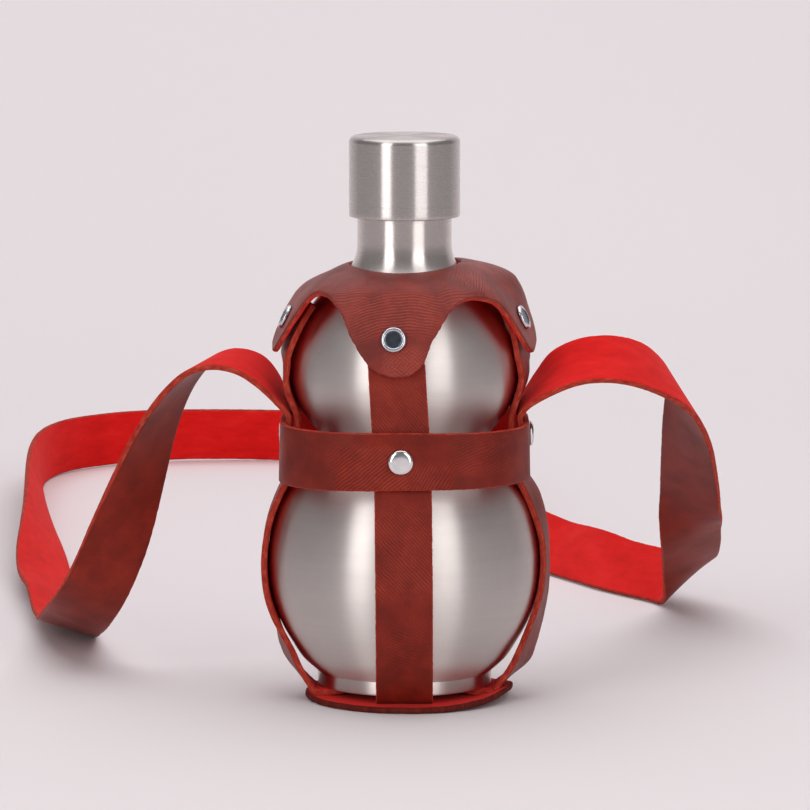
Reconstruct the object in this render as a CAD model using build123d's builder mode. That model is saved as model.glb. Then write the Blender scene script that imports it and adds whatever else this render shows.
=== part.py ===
from build123d import *
import os
from math import sin, cos, tan, atan2, radians, degrees, pi, sqrt, hypot

os.makedirs("parts", exist_ok=True)

# ---------------------------------------------------------------- dimensions
# Millimetres, +Z up. The origin is on the surface the bottle stands on, under
# the bottle's axis. The front of the harness faces -Y.

# leather
LEATHER_T = 2.0          # thickness of every leather piece
STRIP_W = 18.0           # the two long strips
STRAP_W = 22.0           # shoulder strap
PAD_R = 33.8             # base pad
PAD_CX, PAD_CY = 1.5, -3.5
BELT_X, BELT_Y = 40.8, 42.6   # half sizes of the belt's outer face
BELT_R = 31.6            # its outer corner radius
BELT_Z0, BELT_Z1 = 73.4, 91.7
BELT_LAP = 18.0          # lapped ends at the back

# steel bottle
WALL = 0.6
FOOT_R = 28.3            # foot ring
FOOT_Z = 4.1             # its lower edge
BASE_Z = 8.7             # base disc
WAIST_R, WAIST_Z = 26.0, 82.7
NECK_R = 15.3            # plain neck
NECK_FILLET = 14.0
BULB_R, BULB_Z = 37.4, 106.0  # upper bulb, nearly a sphere
NECK_TOP = 158.0         # end of the drawn shell, inside the cap
MOUTH_TOP = 177.0
MOUTH_R = 14.6           # bore of the mouth

# screw cap
CAP_R = 18.0
CAP_Z0, CAP_Z1 = 157.0, 183.0
CAP_EDGE = 1.9           # rounded top edge
THREAD_LEAD = 5.0        # rise for one turn
THREAD_CORE = 15.05      # outer radius of the mouth ring
THREAD_CREST = 15.95
LINER_BORE = 16.25       # clears the crest
LINER_RIDGE = 15.3       # clears the core
LINER_OUT = 17.3
SEAL_T = 2.3

# collar
HOLE_R = 18.6            # neck hole
COLLAR_Z = 141.4         # top face of the flat middle
BEND_R = 26.5            # distance from the axis to each lobe's bend line
LOBE_ROOT_W = 19.6       # half width of a lobe at its bend line
FRONT_TURN = 5.0         # degrees that the front and back lobes sit round to the left
SIDE_TURN = 8.0          # degrees that the side lobes sit round to the front

# fasteners
SNAP_R = 4.0
SNAP_GAP = 1.5           # lobe's inner face to strip's outer face
RIVET_R = 4.0


# ------------------------------------------------------------------- helpers
def v_add(a, b, k=1.0):
    return tuple(p + k * q for p, q in zip(a, b))


def v_norm(a):
    n = sqrt(sum(p * p for p in a))
    return tuple(p / n for p in a)


def v_cross(a, b):
    return (a[1] * b[2] - a[2] * b[1], a[2] * b[0] - a[0] * b[2], a[0] * b[1] - a[1] * b[0])


def catmull(points, n):
    """n points along a smooth curve through the given points, with tangents."""
    pts = [tuple(map(float, p)) for p in points]
    ext = [v_add(pts[0], v_add(pts[1], pts[0], -1), -1)] + pts + [v_add(pts[-1], v_add(pts[-2], pts[-1], -1), -1)]
    seg = len(pts) - 1
    out = []
    for k in range(n):
        u = k / (n - 1) * seg
        i = min(int(u), seg - 1)
        t = u - i
        p0, p1, p2, p3 = ext[i:i + 4]
        pos = tuple(0.5 * (2 * b + (c - a) * t + (2 * a - 5 * b + 4 * c - d) * t * t
                           + (-a + 3 * b - 3 * c + d) * t ** 3) for a, b, c, d in zip(p0, p1, p2, p3))
        tan_ = tuple(0.5 * ((c - a) + 2 * (2 * a - 5 * b + 4 * c - d) * t
                            + 3 * (-a + 3 * b - 3 * c + d) * t * t) for a, b, c, d in zip(p0, p1, p2, p3))
        out.append((pos, v_norm(tan_)))
    return out


def shell_outline(outer, n, thickness):
    """Outer and inner (r, z) points of a sheet whose outer face runs upwards."""
    run = catmull(outer, n)
    out = [p for p, _ in run]
    inn = [(p[0] - t[1] * thickness, p[1] + t[0] * thickness) for p, t in run]
    return out, inn


def ribbon(stations, width, thickness):
    """Leather band through (centre, across) stations, ruled between them."""
    n = len(stations)
    with BuildPart() as band:
        for k, (c, w) in enumerate(stations):
            a = stations[max(k - 1, 0)][0]
            b = stations[min(k + 1, n - 1)][0]
            run = v_norm(v_add(b, a, -1))
            side = v_norm(w)
            dot = sum(p * q for p, q in zip(run, side))
            run = v_norm(v_add(run, side, -dot))
            with BuildSketch(Plane(origin=c, x_dir=side, z_dir=run)):
                Rectangle(width, thickness)
        loft(ruled=True)
    return band.part


def disc_on(point, normal, radius, z0, z1, hole=0.0):
    """Disc on a face: point and outward normal of the face, heights along it."""
    with BuildPart() as disc:
        with BuildSketch(Plane(origin=v_add(point, normal, z0), z_dir=normal)):
            Circle(radius)
            if hole:
                Circle(hole, mode=Mode.SUBTRACT)
        extrude(amount=z1 - z0)
    return disc.part


# -------------------------------------------------------------- steel bottle
LOWER = [(28.35, 8.55), (33.4, 13.2), (36.8, 18.4), (40.0, 24.1), (42.6, 30.8), (44.1, 37.6),
         (44.5, 44.6), (44.2, 50.0), (42.9, 57.0), (40.6, 64.1), (37.4, 69.6), (32.8, 74.6),
         (28.6, 78.6), (26.4, 81.2), (WAIST_R, WAIST_Z)]
UPPER = [(WAIST_R, WAIST_Z), (26.3, 84.2), (28.2, 87.0), (31.0, 90.4), (33.7, 94.3), (35.8, 98.6),
         (37.0, 102.6), (37.4, 106.0), (37.1, 110.7), (36.2, 115.4), (34.6, 120.2), (32.4, 124.7), (29.2, 129.4)]

lo_out, lo_in = shell_outline(LOWER, 43, WALL)
lo_in = [p for p in lo_in if p[0] >= FOOT_R + 0.05 or p[1] > 60]
with BuildPart() as lower_bulb:
    with BuildSketch(Plane.XZ):
        with BuildLine():
            outer_line = Spline(*lo_out, tangents=((0.66, 0.75), (0, 1)))
            bottom = Line(lo_out[0], (FOOT_R + 0.05, lo_in[0][1]))
            edge_in = Line((FOOT_R + 0.05, lo_in[0][1]), lo_in[0]) if lo_in[0][0] > FOOT_R + 0.051 else None
            inner_line = Spline(*lo_in[:-1], (WAIST_R - WALL, WAIST_Z))
            Line((WAIST_R - WALL, WAIST_Z), (WAIST_R, WAIST_Z))
        make_face()
    revolve(axis=Axis.Z)
lower_bulb.part.label = "lower_bulb"
export_step(lower_bulb.part, "parts/lower_bulb.step")

up_out, up_in = shell_outline(UPPER, 40, WALL)
# concave fillet between the bulb's sphere and the neck
fil_c = (NECK_R + NECK_FILLET, BULB_Z + sqrt((BULB_R + NECK_FILLET) ** 2 - (NECK_R + NECK_FILLET) ** 2))
fil_a = (BULB_R * fil_c[0] / (BULB_R + NECK_FILLET), BULB_Z + (fil_c[1] - BULB_Z) * BULB_R / (BULB_R + NECK_FILLET))
a0 = atan2(fil_a[1] - fil_c[1], fil_a[0] - fil_c[0])
fillet_pts = []
for k in range(0, 9):
    a = a0 + (-pi - a0) * k / 8
    fillet_pts.append((cos(a), sin(a)))
fil_out = [(fil_c[0] + NECK_FILLET * c, fil_c[1] + NECK_FILLET * s) for c, s in fillet_pts]
fil_in = [(fil_c[0] + (NECK_FILLET + WALL) * c, fil_c[1] + (NECK_FILLET + WALL) * s) for c, s in fillet_pts]
with BuildPart() as upper_bulb:
    with BuildSketch(Plane.XZ):
        with BuildLine():
            Spline(*up_out, fil_out[0], tangents=((0, 1), (fil_out[0][1] - fil_c[1], fil_c[0] - fil_out[0][0])))
            Spline(*fil_out)
            Line(fil_out[-1], (NECK_R, NECK_TOP))
            Line((NECK_R, NECK_TOP), (NECK_R - WALL, NECK_TOP))
            Line((NECK_R - WALL, NECK_TOP), fil_in[-1])
            Spline(*fil_in[::-1])
            Spline(fil_in[0], *up_in[1:][::-1], (WAIST_R - WALL, WAIST_Z))
            Line((WAIST_R - WALL, WAIST_Z), (WAIST_R, WAIST_Z))
        make_face()
    revolve(axis=Axis.Z)
upper_bulb.part.label = "upper_bulb"
export_step(upper_bulb.part, "parts/upper_bulb.step")

# pressed base: disc with a down-turned foot ring
with BuildPart() as base_cup:
    with BuildSketch(Plane.XZ):
        with BuildLine():
            Polyline((0, BASE_Z + 1.4), (18, BASE_Z + 1.4), (22, BASE_Z + WALL), (FOOT_R, BASE_Z + WALL),
                     (FOOT_R, FOOT_Z), (FOOT_R - WALL, FOOT_Z), (FOOT_R - WALL, BASE_Z),
                     (22, BASE_Z), (18, BASE_Z + 0.8), (0, BASE_Z + 0.8), close=True)
        make_face()
    revolve(axis=Axis.Z)
base_cup.part.label = "base_cup"
export_step(base_cup.part, "parts/base_cup.step")


# threaded mouth ring, hidden in the cap, with one turn and a quarter of thread
def thread_profile(root_r, tip_r, z):
    half_root, half_tip = 0.85, 0.45
    return [(root_r, z - half_root), (tip_r, z - half_tip), (tip_r, z + half_tip), (root_r, z + half_root)]


def thread(root_r, tip_r, z_start, turns, start_deg, taper=True):
    """Right-hand thread as a ruled band of four-sided sections along the helix."""
    steps = int(turns * 24)
    with BuildPart() as ridge:
        for k in range(steps + 1):
            deg = start_deg + 360.0 * turns * k / steps
            z = z_start + THREAD_LEAD * turns * k / steps
            grow = min(1.0, k / 3.0, (steps - k) / 3.0) if taper else 1.0
            tip = root_r + (tip_r - root_r) * max(grow, 0.12)
            d = (cos(radians(deg)), sin(radians(deg)), 0.0)
            with BuildSketch(Plane(origin=(0, 0, 0), x_dir=d, z_dir=v_cross(d, (0, 0, 1)))):
                with BuildLine():
                    Polyline(*thread_profile(root_r, tip, z), close=True)
                make_face()
        loft(ruled=True)
    return ridge.part


neck_thread = thread(THREAD_CORE - 0.15, THREAD_CREST, 164.0, 1.25, 0.0)
with BuildPart() as mouth_ring:
    with BuildSketch(Plane.XZ):
        with BuildLine():
            Polyline((MOUTH_R, NECK_TOP), (NECK_R, NECK_TOP), (NECK_R, NECK_TOP + 1.0), (THREAD_CORE, NECK_TOP + 1.4),
                     (THREAD_CORE, MOUTH_TOP), (MOUTH_R, MOUTH_TOP), close=True)
        make_face()
    revolve(axis=Axis.Z)
    add(neck_thread)
mouth_ring.part.label = "mouth_ring"
export_step(mouth_ring.part, "parts/mouth_ring.step")

# ----------------------------------------------------------------- screw cap
with BuildPart() as cap_shell:
    with BuildSketch(Plane.XZ):
        with BuildLine():
            Line((CAP_R - WALL, CAP_Z0), (CAP_R, CAP_Z0))
            Line((CAP_R, CAP_Z0), (CAP_R, CAP_Z1 - CAP_EDGE))
            RadiusArc((CAP_R, CAP_Z1 - CAP_EDGE), (CAP_R - CAP_EDGE, CAP_Z1), -CAP_EDGE)
            Line((CAP_R - CAP_EDGE, CAP_Z1), (0, CAP_Z1))
            Line((0, CAP_Z1), (0, CAP_Z1 - WALL))
            Line((0, CAP_Z1 - WALL), (CAP_R - CAP_EDGE, CAP_Z1 - WALL))
            RadiusArc((CAP_R - CAP_EDGE, CAP_Z1 - WALL), (CAP_R - WALL, CAP_Z1 - CAP_EDGE), CAP_EDGE - WALL)
            Line((CAP_R - WALL, CAP_Z1 - CAP_EDGE), (CAP_R - WALL, CAP_Z0))
        make_face()
    revolve(axis=Axis.Z)
cap_shell.part.label = "cap_shell"
export_step(cap_shell.part, "parts/cap_shell.step")

LINER_CEIL = MOUTH_TOP + SEAL_T + 0.1
liner_thread = thread(LINER_BORE + 0.15, LINER_RIDGE, 164.0, 1.5, 180.0)
with BuildPart() as cap_liner:
    with BuildSketch(Plane.XZ):
        with BuildLine():
            Polyline((LINER_BORE, CAP_Z0 + 0.8), (LINER_OUT, CAP_Z0 + 0.8), (LINER_OUT, CAP_Z1 - CAP_EDGE - 0.1),
                     (CAP_R - CAP_EDGE - 0.35, CAP_Z1 - WALL - 0.1), (0, CAP_Z1 - WALL - 0.1), (0, LINER_CEIL),
                     (LINER_BORE, LINER_CEIL), close=True)
        make_face()
    revolve(axis=Axis.Z)
    add(liner_thread)
cap_liner.part.label = "cap_liner"
export_step(cap_liner.part, "parts/cap_liner.step")

with BuildPart() as seal_ring:
    with BuildSketch(Plane.XY.offset(MOUTH_TOP + 0.05)):
        Circle(LINER_BORE - 0.15)
        Circle(12.6, mode=Mode.SUBTRACT)
    extrude(amount=SEAL_T)
    fillet(seal_ring.edges().filter_by(GeomType.CIRCLE), 0.4)
seal_ring.part.label = "seal_ring"
export_step(seal_ring.part, "parts/seal_ring.step")

# ------------------------------------------------------------------- harness
# Directions of the four lobes, seen from above.
def lobe_dir(name):
    deg = {"front": -90.0 - FRONT_TURN, "back": 90.0 - FRONT_TURN,
           "left": 180.0 + SIDE_TURN, "right": -SIDE_TURN}[name]
    return (cos(radians(deg)), sin(radians(deg)), 0.0)


# Outer face of a lobe in its own radial plane: (distance from the axis, height).
LOBE_FRONT = [(BEND_R, COLLAR_Z), (29.9, 140.2), (33.4, 137.3), (36.9, 132.5), (39.5, 126.5), (41.05, 121.2),
              (42.1, 115.6), (42.6, 109.6)]
LOBE_SIDE = [(BEND_R, COLLAR_Z), (29.9, 140.4), (33.4, 137.6), (36.8, 132.2), (39.3, 125.7), (40.95, 120.0),
             (42.2, 114.2)]
SNAP_Z = {"front": 121.2, "back": 121.2, "left": 124.6, "right": 124.6}
# Outline of a lobe, seen square on: half width at height.
LOBE_EDGE = [(LOBE_ROOT_W, 142.0), (LOBE_ROOT_W, 134.6), (17.6, 131.0), (15.0, 126.0), (12.8, 121.3), (11.2, 118.0),
             (9.3, 115.0), (7.4, 112.7), (4.8, 110.9), (0.0, 109.9)]


def lobe_profile(name):
    return LOBE_FRONT if name in ("front", "back") else LOBE_SIDE


def snap_frame(name):
    """Point and normal of a lobe's outer face under its snap cap, in 3-D."""
    run = catmull(lobe_profile(name), 400)
    (r, z), t = min(run, key=lambda q: abs(q[0][1] - SNAP_Z[name]))
    d = lobe_dir(name)
    n = v_norm((-t[1], t[0]))
    return (d[0] * r, d[1] * r, z), (d[0] * n[0], d[1] * n[0], n[1]), (d[0] * t[0], d[1] * t[0], t[1])


# flat middle of the collar, bounded by the four bend lines
bounds = [(lobe_dir(n), BEND_R - 0.1) for n in ("front", "right", "back", "left")]
corners = []
for k in range(4):
    (d1, r1), (d2, r2) = bounds[k], bounds[(k + 1) % 4]
    det = d1[0] * d2[1] - d1[1] * d2[0]
    corners.append(((r1 * d2[1] - r2 * d1[1]) / det, (d1[0] * r2 - d2[0] * r1) / det))
with BuildPart() as collar:
    with BuildSketch(Plane.XY.offset(COLLAR_Z - LEATHER_T)) as collar_plan:
        with BuildLine():
            Polyline(*corners, close=True)
        make_face()
        fillet(collar_plan.vertices(), 6.0)
        Circle(HOLE_R, mode=Mode.SUBTRACT)
    extrude(amount=LEATHER_T)
collar.part.label = "collar"
export_step(collar.part, "parts/collar.step")


def make_lobe(name):
    d = lobe_dir(name)
    radial = Plane(origin=(0, 0, 0), x_dir=d, z_dir=v_cross(d, (0, 0, 1)))
    square_on = Plane(origin=(0, 0, 0), x_dir=v_cross((0, 0, 1), d), z_dir=d)
    prof = lobe_profile(name)
    run = catmull(prof, 25)
    outer = [p for p, _ in run]
    inner = [(p[0] + t[1] * LEATHER_T, p[1] - t[0] * LEATHER_T) for p, t in run]
    inner[0] = (BEND_R, COLLAR_Z - LEATHER_T)
    low = prof[-1][1] - 109.6
    edge = [(w, z + (low if k > 1 else low * 0.3 * k)) for k, (w, z) in enumerate(LOBE_EDGE)]
    point, normal, _ = snap_frame(name)
    with BuildPart() as lobe:
        with BuildSketch(radial):
            with BuildLine():
                Polyline(*outer)
                Line(outer[-1], inner[-1])
                Polyline(*inner[::-1])
                Line(inner[0], outer[0])
            make_face()
        extrude(amount=24, both=True)
        with BuildSketch(square_on):
            with BuildLine():
                Line((-LOBE_ROOT_W, 143), (LOBE_ROOT_W, 143))
                Line((LOBE_ROOT_W, 143), edge[1])
                Spline(*edge[1:], *[(-w, z) for w, z in edge[1:-1][::-1]])
                Line((-edge[1][0], edge[1][1]), (-LOBE_ROOT_W, 143))
            make_face()
        extrude(amount=60, mode=Mode.INTERSECT)
        with BuildSketch(Plane(origin=v_add(point, normal, -5), z_dir=normal)):
            Circle(1.6)
        extrude(amount=8, mode=Mode.SUBTRACT)
    return lobe.part


for side in ("front", "left", "right", "back"):
    lobe_part = make_lobe(side)
    lobe_part.label = "lobe_" + side
    export_step(lobe_part, "parts/lobe_" + side + ".step")

    # snap cap with its post: domed disc on the lobe's outer face
    point, normal, _ = snap_frame(side)
    with BuildPart() as snap_cap:
        with BuildSketch(Plane(origin=v_add(point, normal, 0.18), z_dir=normal)):
            Circle(SNAP_R)
        extrude(amount=1.15)
        fillet(snap_cap.edges().filter_by(GeomType.CIRCLE).sort_by(Axis(point, normal))[-1], 0.7)
        with BuildSketch(Plane(origin=v_add(point, normal, -2.35), z_dir=normal)):
            Circle(1.4)
        extrude(amount=2.6)
    snap_cap.part.label = "snap_cap_" + side
    export_step(snap_cap.part, "parts/snap_cap_" + side + ".step")

    # snap socket on the lobe's inner face: ring that closes over the stud
    with BuildPart() as snap_socket:
        with BuildSketch(Plane(origin=v_add(point, normal, -LEATHER_T - 1.1), z_dir=normal)):
            Circle(3.6)
            Circle(2.3, mode=Mode.SUBTRACT)
        extrude(amount=0.85)
        with BuildSketch(Plane(origin=v_add(point, normal, -LEATHER_T - 0.4), z_dir=normal)):
            Circle(3.6)
            Circle(1.45, mode=Mode.SUBTRACT)
        extrude(amount=0.25)
    snap_socket.part.label = "snap_socket_" + side
    export_step(snap_socket.part, "parts/snap_socket_" + side + ".step")


def strip_top(name):
    """Centre line of a strip's top end behind its lobe, from the end down."""
    point, normal, along = snap_frame(name)
    q = v_add(point, normal, -(LEATHER_T + SNAP_GAP + LEATHER_T / 2))
    return [v_add(q, along, -9.0), v_add(q, along, -4.5), q, v_add(q, along, 4.5)], q


def corner(r_c, z_c, rho, a_from, n=6):
    """Arc of the turn under the foot: (radius from the axis, height)."""
    return [(r_c + rho * sin(radians(a_from * (1 - k / n))), z_c - rho * cos(radians(a_from * (1 - k / n))))
            for k in range(n + 1)]


# front and back strip, one piece under the foot
FB_RUN = [(38.1, 112.5), (38.7, 108.0), (38.7, 102.0), (38.9, 94.0), (39.45, 88.0), (39.5, 82.5), (39.5, 77.0),
          (39.55, 73.6), (40.6, 69.6), (42.7, 62.5), (44.9, 54.0), (45.7, 47.0), (45.65, 41.0), (44.95, 35.0), (43.2, 28.5),
          (40.8, 22.5), (37.4, 16.5), (34.3, 11.0)]
FB_TURN = corner(28.5, 5.5, 2.5, 62)


def fb_half(sign):
    name = "front" if sign < 0 else "back"
    top, q = strip_top(name)
    side = (1.0, 0.0, 0.0)
    rows = [(p, (cos(radians(FRONT_TURN)), -sin(radians(FRONT_TURN)), 0.0)) for p in top]
    rows += [((q[0] * max(0.0, (z - 60.0) / 61.0), sign * r, z), side) for r, z in FB_RUN + FB_TURN]
    rows += [((0.0, sign * 20.0, 3.0), side), ((0.0, sign * 9.0, 3.0), side)]
    return rows


front_rows = fb_half(-1)
back_rows = fb_half(1)
strip_fb = front_rows + back_rows[::-1]

# left and right strip, crossing over the other one
LR_RUN = [(38.6, 112.0), (38.65, 107.5), (38.4, 104.0), (37.7, 100.5), (36.5, 97.0), (35.75, 92.5), (35.75, 87.5),
          (35.75, 82.0), (35.8, 77.4), (37.1, 74.0), (39.3, 70.6), (41.7, 66.0), (44.0, 59.5), (45.4, 53.0), (45.8, 46.0),
          (45.7, 40.0), (45.0, 34.0), (43.6, 28.0), (41.5, 22.5), (38.6, 16.5), (35.3, 10.8)]
LR_TURN = corner(28.2, 5.5, 2.5, 58)


def lr_half(sign):
    name = "left" if sign < 0 else "right"
    top, q = strip_top(name)
    turn = radians(SIDE_TURN)
    rows = [(p, (sign * sin(turn), cos(turn), 0.0)) for p in top]

    def shift(z):
        if z > 84:
            return -1.5 + (q[1] + 1.5) * (z - 84) / 41.0
        if z > 50:
            return -1.5
        return -1.5 - 4.5 * (50 - z) / 45.0

    def lean(z):
        if z > 97:
            return SIDE_TURN * (z - 97) / 28.0
        if z > 50:
            return 0.0
        if z > 17:
            return 9.0 * (50 - z) / 33.0
        return 9.0 * max(0.0, (z - 4)) / 13.0

    for r, z in LR_RUN + LR_TURN:
        a = radians(lean(z))
        rows.append(((sign * r, shift(z), z), (sign * sin(a), cos(a), 0.0)))
    y0 = -6.0
    rows += [((sign * 24.5, y0, 3.0), (0, 1, 0)), ((sign * 21.0, y0, 3.4), (0, 1, 0)), ((sign * 15.0, y0, 4.7), (0, 1, 0)),
             ((sign * 11.0, y0, 5.1), (0, 1, 0))]
    return rows


strip_lr = lr_half(-1) + lr_half(1)[::-1]

RIVET_XY = (0.0, -6.0)
RIVET_HOLE = 1.35
# belt rivets: point on the outermost leather face, and its outward normal
BELT_RIVETS = [((-1.2, -BELT_Y, 82.3), (0, -1, 0)), ((0.0, BELT_Y + LEATHER_T, 82.3), (0, 1, 0)),
               ((-BELT_X, 0.0, 86.0), (-1, 0, 0)), ((BELT_X, 0.0, 86.0), (1, 0, 0))]
for label, rows, names in (("strip_front_back", strip_fb, ("front", "back")),
                           ("strip_left_right", strip_lr, ("left", "right"))):
    band = ribbon(rows, STRIP_W, LEATHER_T)
    with BuildPart() as strip:
        add(band)
        for nm in names:
            point, normal, _ = snap_frame(nm)
            with BuildSketch(Plane(origin=v_add(point, normal, -8), z_dir=normal)):
                Circle(1.3)
            extrude(amount=6, mode=Mode.SUBTRACT)
        with BuildSketch(Plane.XY.offset(1.5)):
            with Locations(RIVET_XY):
                Circle(1.6)
        extrude(amount=5.5, mode=Mode.SUBTRACT)
        for face, n in BELT_RIVETS:
            if (abs(n[1]) > 0.5) == (label == "strip_front_back"):
                with BuildSketch(Plane(origin=v_add(face, n, -10.0), z_dir=n)):
                    Circle(RIVET_HOLE)
                extrude(amount=12, mode=Mode.SUBTRACT)
    strip.part.label = label
    export_step(strip.part, "parts/" + label + ".step")

# snap studs on the strips, and their flat backs
with BuildPart() as snap_studs:
    for nm in ("front", "left", "right", "back"):
        point, normal, _ = snap_frame(nm)
        face = v_add(point, normal, -(LEATHER_T + SNAP_GAP))
        with BuildSketch(Plane(origin=v_add(face, normal, 0.02), z_dir=normal)):
            Circle(3.4)
        extrude(amount=0.23)
        with BuildSketch(Plane(origin=v_add(face, normal, -LEATHER_T - 0.06), z_dir=normal)):
            Circle(1.2)
        extrude(amount=LEATHER_T + 0.26)
        with BuildSketch(Plane(origin=v_add(face, normal, 0.2), z_dir=normal)):
            Circle(1.85)
        extrude(amount=0.8)
snap_studs.part.label = "snap_studs"
export_step(snap_studs.part, "parts/snap_studs.step")

with BuildPart() as snap_stud_backs:
    for nm in ("front", "left", "right", "back"):
        point, normal, _ = snap_frame(nm)
        face = v_add(point, normal, -(2 * LEATHER_T + SNAP_GAP))
        with BuildSketch(Plane(origin=v_add(face, normal, -0.36), z_dir=normal)):
            Circle(3.2)
        extrude(amount=0.28)
snap_stud_backs.part.label = "snap_stud_backs"
export_step(snap_stud_backs.part, "parts/snap_stud_backs.step")

# waist belt, its ends lapped flat at the back
with BuildPart() as waist_belt:
    with BuildSketch(Plane.XY.offset(BELT_Z0)):
        RectangleRounded(2 * BELT_X, 2 * BELT_Y, BELT_R)
        RectangleRounded(2 * (BELT_X - LEATHER_T) + 0.1, 2 * (BELT_Y - LEATHER_T) + 0.1, BELT_R - LEATHER_T, mode=Mode.SUBTRACT)
        with Locations((0, BELT_Y + LEATHER_T / 2)):
            Rectangle(BELT_LAP, LEATHER_T)
    extrude(amount=BELT_Z1 - BELT_Z0)
    for face, n in BELT_RIVETS:
        with BuildSketch(Plane(origin=v_add(face, n, -8.0), z_dir=n)):
            Circle(RIVET_HOLE)
        extrude(amount=9, mode=Mode.SUBTRACT)
waist_belt.part.label = "waist_belt"
export_step(waist_belt.part, "parts/waist_belt.step")

# belt rivets: domed caps outside, posts with flat inner heads
with BuildPart() as belt_rivet_caps:
    for face, n in BELT_RIVETS:
        with BuildSketch(Plane(origin=v_add(face, n, 0.05), z_dir=n)):
            Circle(RIVET_R)
        extrude(amount=0.95, taper=18)
        with BuildSketch(Plane(origin=v_add(face, n, 0.95), z_dir=n)):
            Circle(2.9)
        extrude(amount=0.35, taper=40)
belt_rivet_caps.part.label = "belt_rivet_caps"
export_step(belt_rivet_caps.part, "parts/belt_rivet_caps.step")

with BuildPart() as belt_rivet_posts:
    for face, n in BELT_RIVETS:
        # depth of the inner leather face below the outermost one
        depth = {(0, -1, 0): 4.15, (0, 1, 0): 6.15}.get(n, 6.1)
        with BuildSketch(Plane(origin=v_add(face, n, -depth - 0.75), z_dir=n)):
            Circle(3.0)
        extrude(amount=0.7)
        with BuildSketch(Plane(origin=v_add(face, n, -depth - 0.1), z_dir=n)):
            Circle(1.25)
        extrude(amount=depth + 0.12)
belt_rivet_posts.part.label = "belt_rivet_posts"
export_step(belt_rivet_posts.part, "parts/belt_rivet_posts.step")

# round pad under the foot, with a counterbore for the rivet's head
with BuildPart() as base_pad:
    with BuildSketch():
        with Locations((PAD_CX, PAD_CY)):
            Circle(PAD_R)
    extrude(amount=LEATHER_T - 0.02)
    with Locations((RIVET_XY[0], RIVET_XY[1], 0)):
        CounterBoreHole(radius=1.6, counter_bore_radius=4.3, counter_bore_depth=0.95, depth=LEATHER_T + 1)
base_pad.part.label = "base_pad"
export_step(base_pad.part, "parts/base_pad.step")

with BuildPart() as base_rivet:
    with BuildSketch(Plane.XY.offset(0.1)):
        with Locations(RIVET_XY):
            Circle(4.0)
    extrude(amount=0.8)
    with BuildSketch(Plane.XY.offset(0.8)):
        with Locations(RIVET_XY):
            Circle(1.45)
    extrude(amount=5.5)
base_rivet.part.label = "base_rivet"
export_step(base_rivet.part, "parts/base_rivet.step")

with BuildPart() as base_rivet_cap:
    with BuildSketch(Plane.XY.offset(6.32)):
        with Locations(RIVET_XY):
            Circle(3.6)
    extrude(amount=1.0, taper=20)
base_rivet_cap.part.label = "base_rivet_cap"
export_step(base_rivet_cap.part, "parts/base_rivet_cap.step")

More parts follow.
